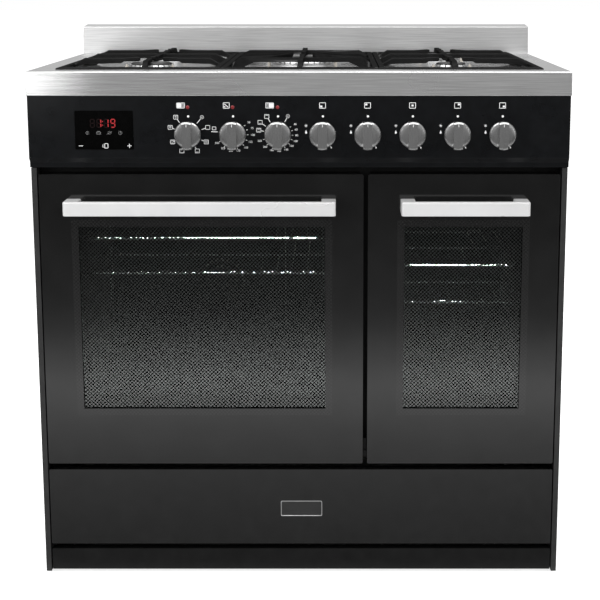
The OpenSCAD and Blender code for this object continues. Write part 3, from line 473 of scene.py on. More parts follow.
def hole_distance(s, x, z, pitch):
    """Distance in metres to the nearest hole of a staggered grid."""
    found = []
    for shift in (0.0, 0.5):
        squares = []
        for axis in (x, z):
            cell = s.math("FRACT", s.math("ADD", s.math("DIVIDE", axis, pitch), 100.0 + shift))
            offset = s.math("MULTIPLY", s.math("SUBTRACT", cell, 0.5), pitch)
            squares.append(s.math("MULTIPLY", offset, offset))
        found.append(s.math("SQRT", s.math("ADD", *squares)))
    return s.math("MINIMUM", *found)


def between(s, value, low, high):
    return s.math("MULTIPLY", s.math("GREATER_THAN", value, low), s.math("LESS_THAN", value, high))


def fresnel_mix(s, behind, roughness, ior):
    """A soft mirror by Fresnel over the shader behind it."""
    gloss = s.nodes.new("ShaderNodeBsdfGlossy")
    gloss.inputs["Roughness"].default_value = roughness
    fresnel = s.nodes.new("ShaderNodeFresnel")
    fresnel.inputs["IOR"].default_value = ior
    return shader_mix(s, fresnel.outputs[0], behind, gloss.outputs[0])


def shader_mix(s, fac, first, second):
    mix = s.nodes.new("ShaderNodeMixShader")
    if isinstance(fac, (int, float)):
        mix.inputs[0].default_value = fac
    else:
        s.link(fac, mix.inputs[0])
    s.link(first, mix.inputs[1])
    s.link(second, mix.inputs[2])
    return mix.outputs[0]


def printed_glass(name, centre_x, window_w):
    """Black glass with a dotted window: the print is on its rear face, inside the window."""
    s = Surface(name, DOOR_GLOSS)
    split = s.nodes.new("ShaderNodeSeparateXYZ")
    s.link(s.coord, split.inputs["Vector"])
    x = s.math("SUBTRACT", split.outputs["X"], centre_x * MM)
    z = split.outputs["Z"]
    hole = s.math("LESS_THAN", hole_distance(s, x, z, HOLE_PITCH * MM), HOLE_RADIUS * MM)
    low, high = WINDOW_Z
    half = window_w / 2
    window = s.math("MULTIPLY", between(s, x, -half * MM, half * MM),
                    between(s, z, low * MM, high * MM))
    edge_x = between(s, x, -(half + DOT_BORDER) * MM, (half + DOT_BORDER) * MM)
    edge_z = between(s, z, (low - DOT_BORDER) * MM, (high + DOT_BORDER) * MM)
    border_dots = s.math("MULTIPLY", hole, s.math("MULTIPLY", edge_x, edge_z))

    # The door's face outside the window, with faint dots along the window's border
    ground = s.blend(s.spread(s.noise(18.0), 0, 1), grey(0.0055), grey(0.0085))
    s.link(s.blend(border_dots, ground, grey(0.014)), s.shader.inputs["Base Color"])
    s.bump(s.noise(7.0, detail=1.0), 0.03, 0.0004)

    # Inside the window: clear glass in front of black ink with clear, faintly mirrored holes
    ink = s.nodes.new("ShaderNodeBsdfDiffuse")
    s.link(s.blend(s.spread(s.noise(40.0), 0, 1), grey(0.002), grey(0.004)), ink.inputs["Color"])
    clear = s.nodes.new("ShaderNodeBsdfTransparent")
    clear.inputs["Color"].default_value = (0.93, 0.95, 0.94, 1.0)
    coated = s.nodes.new("ShaderNodeBsdfGlossy")
    coated.inputs["Roughness"].default_value = 0.12
    through = shader_mix(s, HOLE_MIRROR, clear.outputs[0], coated.outputs[0])
    rear = shader_mix(s, hole, ink.outputs[0], through)
    front = fresnel_mix(s, clear.outputs[0], 0.03, 1.10)
    is_rear = s.math("GREATER_THAN", split.outputs["Y"], (Y_DOOR + GLASS_T - 0.5) * MM)
    pane = shader_mix(s, is_rear, front, rear)
    s.link(shader_mix(s, window, s.shader.outputs[0], pane), s.output.inputs["Surface"])
    return s.mat


def clear_glass(name):
    """The inner pane: nearly clear, with a faint tint and a soft mirror."""
    s = Surface(name, 0.05)
    s.nodes.remove(s.shader)
    through = s.nodes.new("ShaderNodeBsdfTransparent")
    s.link(s.blend(s.spread(s.noise(8.0), 0, 1), (0.80, 0.83, 0.82), (0.84, 0.86, 0.85)),
           through.inputs["Color"])
    s.link(fresnel_mix(s, through.outputs[0], 0.04, 1.45), s.output.inputs["Surface"])
    return s.mat


# The scene's materials

ALONG_X = (0.02, 1.0, 1.0)
ALONG_Z = (1.0, 1.0, 0.03)

hob_steel = brushed("hob_steel", 0.63, ALONG_X, rough=0.28, scale=700.0, contrast=0.16, streak=0.7)
upstand_steel = brushed("upstand_steel", 0.74, ALONG_X, rough=0.36, scale=700.0, contrast=0.14)
panel_black = painted("panel_black", grey(0.0028, 0.25), grey(0.0045, 0.3), 0.3, specular=0.14)
side_black = painted("side_black", grey(0.014), grey(0.022), 0.42, specular=0.4)
plinth_black = painted("plinth_black", grey(0.004), grey(0.0065), 0.4, specular=0.2)
frame_black = painted("frame_black", grey(0.006), grey(0.01), 0.5, specular=0.2)
galvanised = painted("galvanised", grey(0.42), grey(0.62), 0.42, grain=35.0, metallic=0.9)
display_black = painted("display_black", grey(0.001), grey(0.0016), 0.1, strength=0.02, specular=0.05)
red_lamp = glowing("red_lamp", (0.16, 0.006, 0.008), 0.3)
red_digit = glowing("red_digit", (0.34, 0.008, 0.012), 0.16)
dim_digit = painted("dim_digit", (0.006, 0.002, 0.002), (0.009, 0.002, 0.002), 0.5, specular=0.1)
burner_alu = painted("burner_alu", grey(0.62), grey(0.8), 0.36, metallic=1.0, strength=0.3)
burner_body_metal = painted("burner_body_metal", grey(0.3), grey(0.45), 0.5, metallic=0.8)
burner_black = painted("burner_black", grey(0.012), grey(0.02), 0.4, bump_scale=500.0, strength=0.25)
ceramic = painted("ceramic", (0.42, 0.39, 0.35), (0.5, 0.47, 0.42), 0.4)
white_ink = painted("white_ink", grey(0.82), grey(0.9), 0.55)
grey_ink = painted("grey_ink", grey(0.20), grey(0.26), 0.55)
pointer_ink = painted("pointer_ink", grey(0.5), grey(0.6), 0.5)
cavity_enamel = speckled("cavity_enamel", (0.0025, 0.0025, 0.003), (0.03, 0.03, 0.034), 0.4)
mineral_wool = painted("mineral_wool", (0.42, 0.36, 0.22), (0.62, 0.55, 0.36), 0.95, grain=140.0,
                       bump_scale=180.0, strength=0.8, distance=0.002)
element_metal = painted("element_metal", (0.13, 0.12, 0.115), (0.2, 0.185, 0.17), 0.45, metallic=0.7)
wire_chrome = painted("wire_chrome", grey(0.72), grey(0.85), 0.16, metallic=1.0, strength=0.05)
lamp_glass = painted("lamp_glass", (0.85, 0.82, 0.72), (0.92, 0.9, 0.84), 0.2, coat=0.5)
gasket_rubber = painted("gasket_rubber", grey(0.03), grey(0.05), 0.8, bump_scale=700.0, strength=0.5)
brass = painted("brass", (0.58, 0.42, 0.16), (0.74, 0.56, 0.26), 0.32, metallic=1.0)
plain_steel = brushed("plain_steel", 0.5, ALONG_X, rough=0.35, scale=500.0)
switch_plastic = painted("switch_plastic", grey(0.55), grey(0.65), 0.5)
black_plastic = painted("black_plastic", grey(0.02), grey(0.032), 0.5, bump_scale=600.0, strength=0.2)
handle_metal = painted("handle_metal", grey(0.74), grey(0.78), 0.3, grain=20.0, metallic=0.35,
                       strength=0.03)
knob_metal = brushed("knob_metal", 0.40, ALONG_Z, rough=0.27, scale=1100.0, contrast=0.08)
drawer_black = painted("drawer_black", grey(0.0035), grey(0.006), 0.2)
iron = cast_iron("iron", 0.005, 0.028)
inner_glass = clear_glass("inner_glass")
hinge_black = painted("hinge_black", grey(0.012), grey(0.02), 0.45, metallic=0.6)

PLAIN_NODES = {
    side_black: ["left_side_panel", "right_side_panel"],
    galvanised: ["rear_cover", "base_pan", "terminal_block", "drawer_box"],
    plinth_black: ["plinth"],
    frame_black: ["front_frame", "main_door_frame", "second_door_frame"],
    display_black: ["display_module"],
    red_lamp: ["pilot_lamps"],
    burner_body_metal: ["burner_bodies"],
    ceramic: ["igniters"],
    cavity_enamel: ["main_oven_cavity", "second_oven_cavity", "fan_cover"],
    mineral_wool: ["oven_insulation"],
    hinge_black: ["hinge_brackets"],
    element_metal: ["oven_elements", "fan_motor", "oven_fan"],
    plain_steel: ["gas_manifold", "drawer_rails",
                  "front_left_spindle", "rear_left_spindle", "centre_spindle",
                  "rear_right_spindle", "front_right_spindle"],
    wire_chrome: ["shelf_rails", "main_oven_shelves", "second_oven_shelves"],
    lamp_glass: ["oven_lamps"],
    gasket_rubber: ["door_gaskets"],
    brass: ["gas_taps"],
    switch_plastic: ["oven_switches"],
    black_plastic: ["feet"],
    inner_glass: ["main_door_inner_glass", "second_door_inner_glass"],
    drawer_black: ["drawer_front"],
}

for material, nodes in PLAIN_NODES.items():
    for cad_node in nodes:
        paint(cad_node, material)
paint("main_door_glass", printed_glass("main_glass", X_MAIN, MAIN_WINDOW_W))
paint("second_door_glass", printed_glass("second_glass", X_SECOND, SECOND_WINDOW_W))


# Finished copies of the cast, pressed and turned parts, with their small radii

ROUNDED = [
    ("main_door_handle", handle_metal, "handle_metal", 1.4),
    ("second_door_handle", handle_metal, "handle_metal", 1.4),
    ("burner_caps", burner_black, "burner_black", 0.5),
    ("burner_crowns", burner_alu, "burner_alu", 0.3),
]
for cad_node, material, slot_name, edge in ROUNDED:
    rounded_copy(cad_node, material, edge)

# The profile of the knob's grip, as (depth, radius) in mm: the solid's, and a fuller one
GRIP_PROFILE = [(9.0, 24.25), (11.0, 24.25), (15.0, 21.25), (25.0, 16.25)]
FULL_PROFILE = [(9.0, 24.25), (19.0, 24.25), (23.0, 22.75), (25.0, 20.25)]
GRIP_HALF_W = 7.5
GRIP_FROM = 10.5
HUB_RADIUS = 15.0


def fuller_grip(index):
    """Gives the ends of a knob's grip a fuller form, from the profiles above."""
    x, y = knob_x(index), Y_PANEL - KNOB_GAP

    def place(corner):
        depth, aside, up = y - corner.y, corner.x - x, corner.z - Z_KNOB
        radius = math.hypot(aside, up)
        if depth < GRIP_FROM or abs(aside) > GRIP_HALF_W + 0.1 or radius < HUB_RADIUS:
            return corner
        for (d0, r0), (d1, r1), (e0, s0), (e1, s1) in zip(GRIP_PROFILE, GRIP_PROFILE[1:],
                                                          FULL_PROFILE, FULL_PROFILE[1:]):
            if depth <= d1 + 0.01:
                share = (depth - d0) / (d1 - d0)
                full = s0 + (s1 - s0) * share
                new_depth = e0 + (e1 - e0) * share
                height = math.sqrt(full * full - aside * aside)
                return Vector((corner.x, y - new_depth, Z_KNOB + math.copysign(height, up)))
        return corner

    return place


for number, knob in enumerate(KNOBS):
    rounded_copy(knob, knob_metal, 0.8, reshape=fuller_grip(number))

# The pan supports: their heights over the well's floor, the bars' width and the fingers' bend
Z_WELL = 872.0
GRATE_H = 21.0
GRATE_BAR = 9.0
LOW_FRAME_H = 11.5
FINGER_BEND = 17.0


def low_frame(node):
    """A pan support with a low frame, from which the fingers bend up to their full height."""
    corners = [vert.co / MM for vert in NODES[node].data.vertices]
    x0, x1 = min(c.x for c in corners), max(c.x for c in corners)
    y0, y1 = min(c.y for c in corners), max(c.y for c in corners)
    cuts = []
    for inward in (GRATE_BAR, GRATE_BAR + FINGER_BEND * 0.5, GRATE_BAR + FINGER_BEND):
        cuts += [("x", x0 + inward), ("x", x1 - inward), ("y", y0 + inward), ("y", y1 - inward)]

    def place(corner):
        inward = min(corner.x - x0, x1 - corner.x, corner.y - y0, y1 - corner.y)
        bend = min(1.0, max(0.0, (inward - GRATE_BAR) / FINGER_BEND))
        share = bend * bend * (3.0 - 2.0 * bend)
        squash = (LOW_FRAME_H + (GRATE_H - LOW_FRAME_H) * share) / GRATE_H
        return Vector((corner.x, corner.y, Z_WELL + (corner.z - Z_WELL) * squash))

    return cuts, place


for cad_node in ("left_pan_support", "centre_pan_support", "right_pan_support"):
    frame_cuts, bent = low_frame(cad_node)
    rounded_copy(cad_node, iron, 1.2, cuts=frame_cuts, reshape=bent)


def on_hob_rim(place):
    """The hob's outer top edge at the front and sides."""
    return place.z > Z_HOB - 1 and (place.y < Y_HOB + 1 or abs(place.x) > HOB_W / 2 - 1)


def anywhere(place):
    return True


rounded_copy("hob_top", hob_steel, 2.6, 4, folds=[(on_hob_rim, 2.6), (anywhere, 0.7)])
rounded_copy("upstand", upstand_steel, 0.8, folds=[(anywhere, 0.8)])
rounded_copy("control_panel", panel_black, 0.8, folds=[(anywhere, 0.8)])


# Print on the control panel


def pointer(ink, x, z, dx, dz, start=24.0, end=27.0, width=0.8):
    """A short line that runs out from a knob towards its symbol."""
    angle = math.atan2(dz, dx)
    c, s = math.cos(angle), math.sin(angle)
    ink.stroke([(x + c * start, z + s * start), (x + c * end, z + s * end)], width)


def symbol(ink, kind, x, z, size=7.0):
    """A plain oven symbol: a box or ring with the marks that its kind has."""
    h = size / 2
    if kind == "lamp":
        ink.circle(x, z, h * 0.8, 0.8)
        ink.disc(x, z, 0.9)
        return
    ink.frame(x, z, size, size * 0.92, 0.7)
    if kind in ("grill", "grid", "fan_grill"):
        zig = [(x - h * 0.6 + i * size * 0.12, z + h * 0.55 - (i % 2) * 1.0) for i in range(6)]
        ink.stroke(zig, 0.5)
    if kind in ("fan", "fan_grill", "grid"):
        ink.circle(x, z - 0.4, 1.2, 0.6)
        ink.stroke([(x - 1.6, z - 0.4), (x + 1.6, z - 0.4)], 0.5)
    if kind in ("base", "both"):
        ink.stroke([(x - h * 0.6, z - h * 0.5), (x + h * 0.6, z - h * 0.5)], 0.6)
    if kind in ("top", "both"):
        ink.stroke([(x - h * 0.6, z + h * 0.5), (x + h * 0.6, z + h * 0.5)], 0.6)
    if kind == "lines":
        for step in (-1.4, 0.0, 1.4):
            ink.stroke([(x - h * 0.6, z + step), (x + h * 0.6, z + step)], 0.45)


def dial_symbols(ink, x, items):
    for kind, dx, dz in items:
        symbol(ink, kind, x + dx * 1.02, Z_KNOB + dz * 1.02)
        pointer(ink, x, Z_KNOB, dx, dz, 24.0, max(27.0, math.hypot(dx, dz) - 3.4), 1.0)


def dial_numbers(ink, x, items):
    for value, dx, dz in items:
        reach = math.hypot(dx, dz)
        push = (reach + 1.6) / reach
        ink.number(str(value), x + dx * push, Z_KNOB + dz * push, 3.3)
        pointer(ink, x, Z_KNOB, dx, dz, 23.4, 25.6, 0.8)


def oven_mark(ink, x, z, left_filled, w=12.8, h=8.4):
    """A wide box with the half that stands for the oven filled in."""
    ink.frame(x, z, w, h, 0.9)
    inner_w, inner_h = w * 0.56, h - 1.6
    x0 = x - w / 2 + 0.6 if left_filled else x + w / 2 - 0.6 - inner_w
    ink.bar(x0, z - inner_h / 2, x0 + inner_w, z + inner_h / 2)
    x1 = x + w / 2 - 3.4 if left_filled else x - w / 2 + 2.2
    ink.frame(x1 + 0.6, z, 2.0, h - 3.0, 0.5)


def hob_mark(ink, x, z, column, row, w=10.0, h=9.0):
    """A square with one small square where the burner is."""
    ink.frame(x, z, w, h, 0.9)
    ink.bar(x + column * 2.1 - 1.7, z + row * 1.7 - 1.5, x + column * 2.1 + 1.7, z + row * 1.7 + 1.5)


def flame(ink, x, z, size):
    ink.shape([(x, z + size), (x + size * 0.42, z + size * 0.1), (x + size * 0.5, z - size * 0.35),
               (x + size * 0.22, z - size * 0.72), (x - size * 0.22, z - size * 0.72),
               (x - size * 0.5, z - size * 0.35), (x - size * 0.36, z + size * 0.12)])


def spark(ink, x, z, reach=2.4):
    for step in range(4):
        a = math.radians(45.0 * step)
        c, s = math.cos(a) * reach, math.sin(a) * reach
        ink.stroke([(x - c, z - s), (x + c, z + s)], 0.5)


MARK_Z = Z_KNOB + 47.9
MAIN_SYMBOLS = [
    ("grid", -19.6, 28.0), ("lamp", 23.0, 28.0), ("fan_grill", -28.7, 11.4), ("box", 32.1, 11.4),
    ("both", -25.3, -12.3), ("lines", 29.4, -12.3), ("top", -10.5, -27.0), ("base", 14.6, -27.0),
]
SECOND_SYMBOLS = [
    ("top", -17.6, 29.2), ("base", -28.5, 19.6), ("both", -30.8, 6.8), ("lamp", 16.6, 29.6),
]
MAIN_NUMBERS = [
    (50, 25.3, 18.9), (75, 30.6, 9.8), (100, 31.2, -0.9), (125, 27.6, -11.9), (150, 20.2, -21.0),
    (175, 8.1, -25.6), (200, -3.4, -25.6), (225, -15.5, -21.9), (250, -25.2, -13.7),
]
SECOND_NUMBERS = [
    (40, 27.4, 16.0), (60, 28.9, 7.5), (80, 29.8, -1.6), (100, 27.9, -10.7), (120, 21.5, -18.2),
    (140, 12.9, -24.0), (160, 1.6, -26.0), (180, -9.6, -24.9), (200, -19.9, -19.8),
    (220, -28.5, -10.3),
]
BURNER_MARKS = [(-1, -1), (-1, 1), (0, 0), (1, 1), (1, -1)]


def panel_print():
    ink = Ink(Y_PANEL)
    for i in range(8):
        ink.disc(knob_x(i) + 0.7, Z_KNOB + 29.9, 1.9)
    x = knob_x(0)
    oven_mark(ink, x - 11.4, MARK_Z, True)
    dial_symbols(ink, x, MAIN_SYMBOLS)
    x = knob_x(1)
    ink.frame(x - 10.3, MARK_Z, 10.0, 9.0, 0.9)
    ink.stroke([(x - 13.6, MARK_Z + 2.6), (x - 7.2, MARK_Z - 2.8)], 1.1)
    ink.disc(x - 12.9, MARK_Z - 2.0, 1.1)
    dial_numbers(ink, x, MAIN_NUMBERS)
    ink.frame(x - 31.0, Z_KNOB + 10.0, 6.0, 5.0, 0.8)
    ink.stroke([(x - 35.6, Z_KNOB + 4.6), (x - 25.0, Z_KNOB + 4.2)], 1.1)
    x = knob_x(2)
    oven_mark(ink, x - 13.0, MARK_Z, False)
    dial_symbols(ink, x, SECOND_SYMBOLS)
    dial_numbers(ink, x, SECOND_NUMBERS)
    for i, (column, row) in enumerate(BURNER_MARKS):
        x = knob_x(3 + i)
        hob_mark(ink, x, MARK_Z, column, row)
        spark(ink, x - 27.4, Z_KNOB + 14.4)
        flame(ink, x - 27.4, Z_KNOB + 3.6, 3.6)
        flame(ink, x + 14.4, Z_KNOB - 22.0, 2.0)
        pointer(ink, x, Z_KNOB, 12.5, -19.8, 23.4, 25.0, 0.7)
    return ink.piece("panel_print", white_ink, "ceramic_white")


SEGMENTS = {
    "0": "abcdef", "1": "bc", "2": "abged", "3": "abgcd", "4": "fgbc", "5": "afgcd",
    "6": "afgedc", "7": "abc", "8": "abcdefg", "9": "abcdfg",
}


def seven_segment(ink, digit, x, z, w, h, t):
    """One lit digit, made of slim bars with mitred ends."""
    spots = {
        "a": ((x - w / 2, z + h / 2), (x + w / 2, z + h / 2)),
        "b": ((x + w / 2, z + h / 2), (x + w / 2, z)),
        "c": ((x + w / 2, z), (x + w / 2, z - h / 2)),
        "d": ((x - w / 2, z - h / 2), (x + w / 2, z - h / 2)),
        "e": ((x - w / 2, z), (x - w / 2, z - h / 2)),
        "f": ((x - w / 2, z + h / 2), (x - w / 2, z)),
        "g": ((x - w / 2, z), (x + w / 2, z)),
    }
    for name in SEGMENTS[digit]:
        (xa, za), (xb, zb) = spots[name]
        if za == zb:
            ink.shape([(xa + t * 0.2, za), (xa + t * 0.7, za + t / 2), (xb - t * 0.7, za + t / 2),
                       (xb - t * 0.2, za), (xb - t * 0.7, za - t / 2), (xa + t * 0.7, za - t / 2)])
        else:
            top, low = max(za, zb), min(za, zb)
            ink.shape([(xa, top - t * 0.2), (xa + t / 2, top - t * 0.7), (xa + t / 2, low + t * 0.7),
                       (xa, low + t * 0.2), (xa - t / 2, low + t * 0.7), (xa - t / 2, top - t * 0.7)])


CLOCK_DIGITS = ((-342.0, " "), (-331.0, "1"), (-319.0, "1"), (-308.0, "9"))


def display_face():
    lit, unlit = Ink(Y_DISPLAY, 0.07), Ink(Y_DISPLAY, 0.04)
    centre_z = 794.5
    for x, digit in CLOCK_DIGITS:
        seven_segment(unlit, "8", x, centre_z, 6.4, 13.2, 1.5)
        if digit != " ":
            seven_segment(lit, digit, x, centre_z, 6.4, 13.2, 1.7)
    for z in (centre_z - 3.0, centre_z + 3.0):
        lit.disc(-325.0, z, 0.9)
    lit.piece("display_digits", red_digit, "red_lens")
    unlit.piece("display_unlit_digits", dim_digit, "red_lens")
    ink = Ink(Y_DISPLAY, 0.05)
    z = 778.5
    ink.circle(-350.5, z, 2.6, 0.55, 20.0, 340.0)
    ink.stroke([(-350.5, z - 1.4), (-350.5, z + 1.6)], 0.5)
    ink.stroke([(-335.0, z - 1.8), (-329.0, z - 1.8), (-328.4, z + 1.4), (-335.6, z + 1.4),
                (-335.0, z - 1.8)], 0.55)
    ink.stroke([(-334.0, z + 2.6), (-330.0, z + 2.6)], 0.55)
    ink.circle(-314.0, z, 2.4, 0.55)
    ink.stroke([(-317.8, z - 2.2), (-310.2, z + 2.2)], 0.55)
    ink.circle(-296.0, z, 2.8, 0.55, 60.0, 400.0)
    ink.stroke([(-296.0, z + 1.6), (-296.0, z), (-294.6, z - 0.6)], 0.5)
    ink.piece("display_symbols", grey_ink, "ceramic_white")
    ink = Ink(Y_DISPLAY, 0.05)
    z = 757.0
    ink.stroke([(-365.2, z), (-358.6, z)], 0.9)
    ink.frame(-319.8, z, 5.4, 7.4, 0.9)
    ink.stroke([(-325.0, z + 2.6), (-325.6, z), (-325.0, z - 2.6)], 0.8)
    ink.stroke([(-284.6, z), (-278.2, z)], 0.9)
    ink.stroke([(-281.4, z - 3.2), (-281.4, z + 3.2)], 0.9)
    ink.piece("touch_marks", white_ink, "ceramic_white")


panel_print()
display_face()


# Small pieces that ride on the moving parts


def knob_pointer(index, knob):
    """A short faint line at the top of the grip's front."""
    x, y_base = knob_x(index), Y_PANEL - KNOB_GAP
    half, lift = 0.6, 0.06
    run = [(Z_KNOB + 15.0, 25.0), (Z_KNOB + 19.5, 25.0)]
    bm = bmesh.new()
    rows = []
    for z, out in run:
        rows.append([bm.verts.new((x + side * half, y_base - out - lift, z + lift * 0.5))
                     for side in (-1, 1)])
    for a, b in zip(rows, rows[1:]):
        bm.faces.new((a[0], a[1], b[1], b[0]))
    return to_object(knob + "_pointer", bm, pointer_ink, knob, smooth=False)


for number, knob in enumerate(KNOBS):
    knob_pointer(number, knob)


def blank_plate():
    """The bare plate in the middle of the drawer front, with a fine raised rim."""
    x0, x1, z0, z1, corner, rim = -35.0, 37.0, 106.0, 134.0, 2.5, 1.0

    def outline(inset, y):
        points = []
        for cx, cz, start in ((x1, z1, 0), (x0, z1, 90), (x0, z0, 180), (x1, z0, 270)):
            sx, sz = (1 if cx == x1 else -1), (1 if cz == z1 else -1)
            for step in range(5):
                a = math.radians(start + step * 22.5)
                r = corner - inset * 0.5
                points.append((cx - sx * corner + r * math.cos(a) - sx * inset * 0.5, y,
                               cz - sz * corner + r * math.sin(a) - sz * inset * 0.5))
        return points

    bm = bmesh.new()
    loops = []
    for inset, y in ((0, Y_DOOR - 0.02), (0, Y_DOOR - 0.7), (0.4, Y_DOOR - 0.9),
                     (rim, Y_DOOR - 0.9), (rim + 0.3, Y_DOOR - 0.6)):
        loops.append([bm.verts.new(p) for p in outline(inset, y)])
    for a, b in zip(loops, loops[1:]):
        for i in range(len(a)):
            j = (i + 1) % len(a)
            bm.faces.new((a[i], a[j], b[j], b[i]))
    face = bm.faces.new(loops[-1])
    face.material_index = 1
    bmesh.ops.recalc_face_normals(bm, faces=bm.faces)
    return to_object("drawer_blank_plate", bm, [plate_metal, plate_black], "drawer")


plate_metal = brushed("plate_metal", 0.62, ALONG_X, rough=0.32, scale=700.0)
plate_black = painted("plate_black", grey(0.012), grey(0.018), 0.4)
blank_plate()


RECESS_HALF_W = 407.0
RECESS_Y = (-232.0, 256.0)
BEAD_W = 2.4
BEAD_H = 2.2


def well_edging():
    """A low bead on the rim of the hob's recess, in dark iron: its dark colour is a painted reflection
    of the black pan supports in the rim.
    """
    half_w, (y0, y1), width, height = RECESS_HALF_W, RECESS_Y, BEAD_W, BEAD_H
    bm = bmesh.new()
    loops = []
    for out, z in ((0.0, Z_HOB - 0.5), (0.0, Z_HOB + height * 0.7), (width * 0.3, Z_HOB + height),
                   (width * 0.7, Z_HOB + height), (width, Z_HOB + height * 0.5), (width, Z_HOB - 0.5)):
        loops.append([bm.verts.new((sx * (half_w + out), y, z)) for sx, y in
                      ((-1, y0 - out), (1, y0 - out), (1, y1 + out), (-1, y1 + out))])
    for a, b in zip(loops, loops[1:] + loops[:1]):
        for i in range(4):
            j = (i + 1) % 4
            bm.faces.new((a[i], a[j], b[j], b[i]))
    bmesh.ops.recalc_face_normals(bm, faces=bm.faces)
    # The dark iron on this bead is a painted reflection of the black pan supports.
    return to_object("hob_rim_painted_reflection_bead", bm, iron, "cooker")


well_edging()


def screw_head(bm, x, y, z, radius=3.6, height=2.2, count=20):
    """A pan-head screw that faces the rear, with a recess in its middle."""
    profile = [(radius, 0.0), (radius, 0.5), (radius * 0.85, height * 0.75), (radius * 0.5, height),
               (radius * 0.36, height), (radius * 0.2, height * 0.35)]
    rings = []
    for r, out in profile:
        rings.append([bm.verts.new((x + r * math.cos(a), y + out, z + r * math.sin(a)))
                      for a in (2 * math.pi * i / count for i in range(count))])
    for a, b in zip(rings, rings[1:]):
        for i in range(count):
            j = (i + 1) % count
            bm.faces.new((a[i], b[i], b[j], a[j]))
    bm.faces.new(rings[-1])


def rear_screws():
    bm = bmesh.new()
    for x in (-436.0, 436.0):
        for z in (60.0, 230.0, 400.0, 570.0, 740.0, 820.0):
            screw_head(bm, x, Y_BODY, z)
    for x in (-290.0, -145.0, 145.0, 290.0):
        screw_head(bm, x, Y_BODY, 820.0)
    bmesh.ops.recalc_face_normals(bm, faces=bm.faces)
    return to_object("rear_screws", bm, plain_steel, "cooker")


rear_screws()


# Floor, light and camera


def stage_plane(name, x0, x1, y0, y1, z, mat):
    mesh = bpy.data.meshes.new(name)
    mesh.from_pydata([(x0, y0, z), (x1, y0, z), (x1, y1, z), (x0, y1, z)], [], [(0, 1, 2, 3)])
    mesh.materials.append(mat)
    obj = bpy.data.objects.new(name, mesh)
    bpy.context.scene.collection.objects.link(obj)
    return obj


def floor_material(lift):
    """A pale matt floor that the camera sees a little brighter, so its shadow stays."""
    mat = bpy.data.materials.new("floor")
    mat.use_nodes = True
    tree = mat.node_tree
    tree.nodes.clear()
    out = tree.nodes.new("ShaderNodeOutputMaterial")
    matt = tree.nodes.new("ShaderNodeBsdfDiffuse")
    matt.inputs["Color"].default_value = (0.86, 0.86, 0.86, 1.0)
    glow = tree.nodes.new("ShaderNodeEmission")
    path = tree.nodes.new("ShaderNodeLightPath")
    level = tree.nodes.new("ShaderNodeMath")
    level.operation = "MULTIPLY"
    level.inputs[1].default_value = lift
    add = tree.nodes.new("ShaderNodeAddShader")
    tree.links.new(path.outputs["Is Camera Ray"], level.inputs[0])
    tree.links.new(level.outputs[0], glow.inputs["Strength"])
    tree.links.new(matt.outputs[0], add.inputs[0])
    tree.links.new(glow.outputs[0], add.inputs[1])
    tree.links.new(add.outputs[0], out.inputs["Surface"])
    return mat


def card_material(name, y_start, reach, peak, stops, fade=None):
    """A card that only mirrors see. Its light follows the distance from y_start towards the front.

    fade is (near, far, level): the light falls to the level between those distances sideways.
    """
    mat = bpy.data.materials.new(name)
    mat.use_nodes = True
    tree = mat.node_tree
    tree.nodes.clear()
    out = tree.nodes.new("ShaderNodeOutputMaterial")
    glow = tree.nodes.new("ShaderNodeEmission")
    coord = tree.nodes.new("ShaderNodeTexCoord")
    split = tree.nodes.new("ShaderNodeSeparateXYZ")
    away = tree.nodes.new("ShaderNodeMapRange")
    for socket, value in (("From Min", y_start), ("From Max", y_start - reach),
                          ("To Min", 0.0), ("To Max", 1.0)):
        away.inputs[socket].default_value = value
    ramp = tree.nodes.new("ShaderNodeValToRGB")
    band = ramp.color_ramp
    while len(band.elements) < len(stops):
        band.elements.new(0.5)
    for element, (place, level) in zip(band.elements, stops):
        element.position = place / reach
        element.color = (level / peak, level / peak, level / peak, 1.0)
    times = tree.nodes.new("ShaderNodeMath")
    times.operation = "MULTIPLY"
    times.inputs[1].default_value = peak
    tree.links.new(coord.outputs["Object"], split.inputs["Vector"])
    tree.links.new(split.outputs["Y"], away.inputs["Value"])
    tree.links.new(away.outputs["Result"], ramp.inputs["Fac"])
    tree.links.new(ramp.outputs["Color"], times.inputs[0])
    level = times.outputs[0]
    if fade:
        aside = tree.nodes.new("ShaderNodeMath")
        aside.operation = "ABSOLUTE"
        tree.links.new(split.outputs["X"], aside.inputs[0])
        fall = tree.nodes.new("ShaderNodeMapRange")
        for socket, value in (("From Min", fade[0]), ("From Max", fade[1]), ("To Min", 1.0),
                              ("To Max", fade[2])):
            fall.inputs[socket].default_value = value
        tree.links.new(aside.outputs[0], fall.inputs["Value"])
        dimmed = tree.nodes.new("ShaderNodeMath")
        dimmed.operation = "MULTIPLY"
        tree.links.new(level, dimmed.inputs[0])
        tree.links.new(fall.outputs["Result"], dimmed.inputs[1])
        level = dimmed.outputs[0]
    tree.links.new(level, glow.inputs["Strength"])
    tree.links.new(glow.outputs[0], out.inputs["Surface"])
    return mat


def mirror_only(obj):
    obj.visible_camera = False
    obj.visible_diffuse = False
    obj.visible_shadow = False
    obj.visible_transmission = False


def area_light(name, place, aim, size, power):
    data = bpy.data.lights.new(name, "AREA")
    data.shape = "RECTANGLE"
    data.size, data.size_y = size
    data.energy = power
    obj = bpy.data.objects.new(name, data)
    bpy.context.scene.collection.objects.link(obj)
    obj.location = place
    obj.rotation_euler = (Vector(aim) - Vector(place)).to_track_quat("-Z", "Y").to_euler()
    obj.visible_camera = False
    return obj


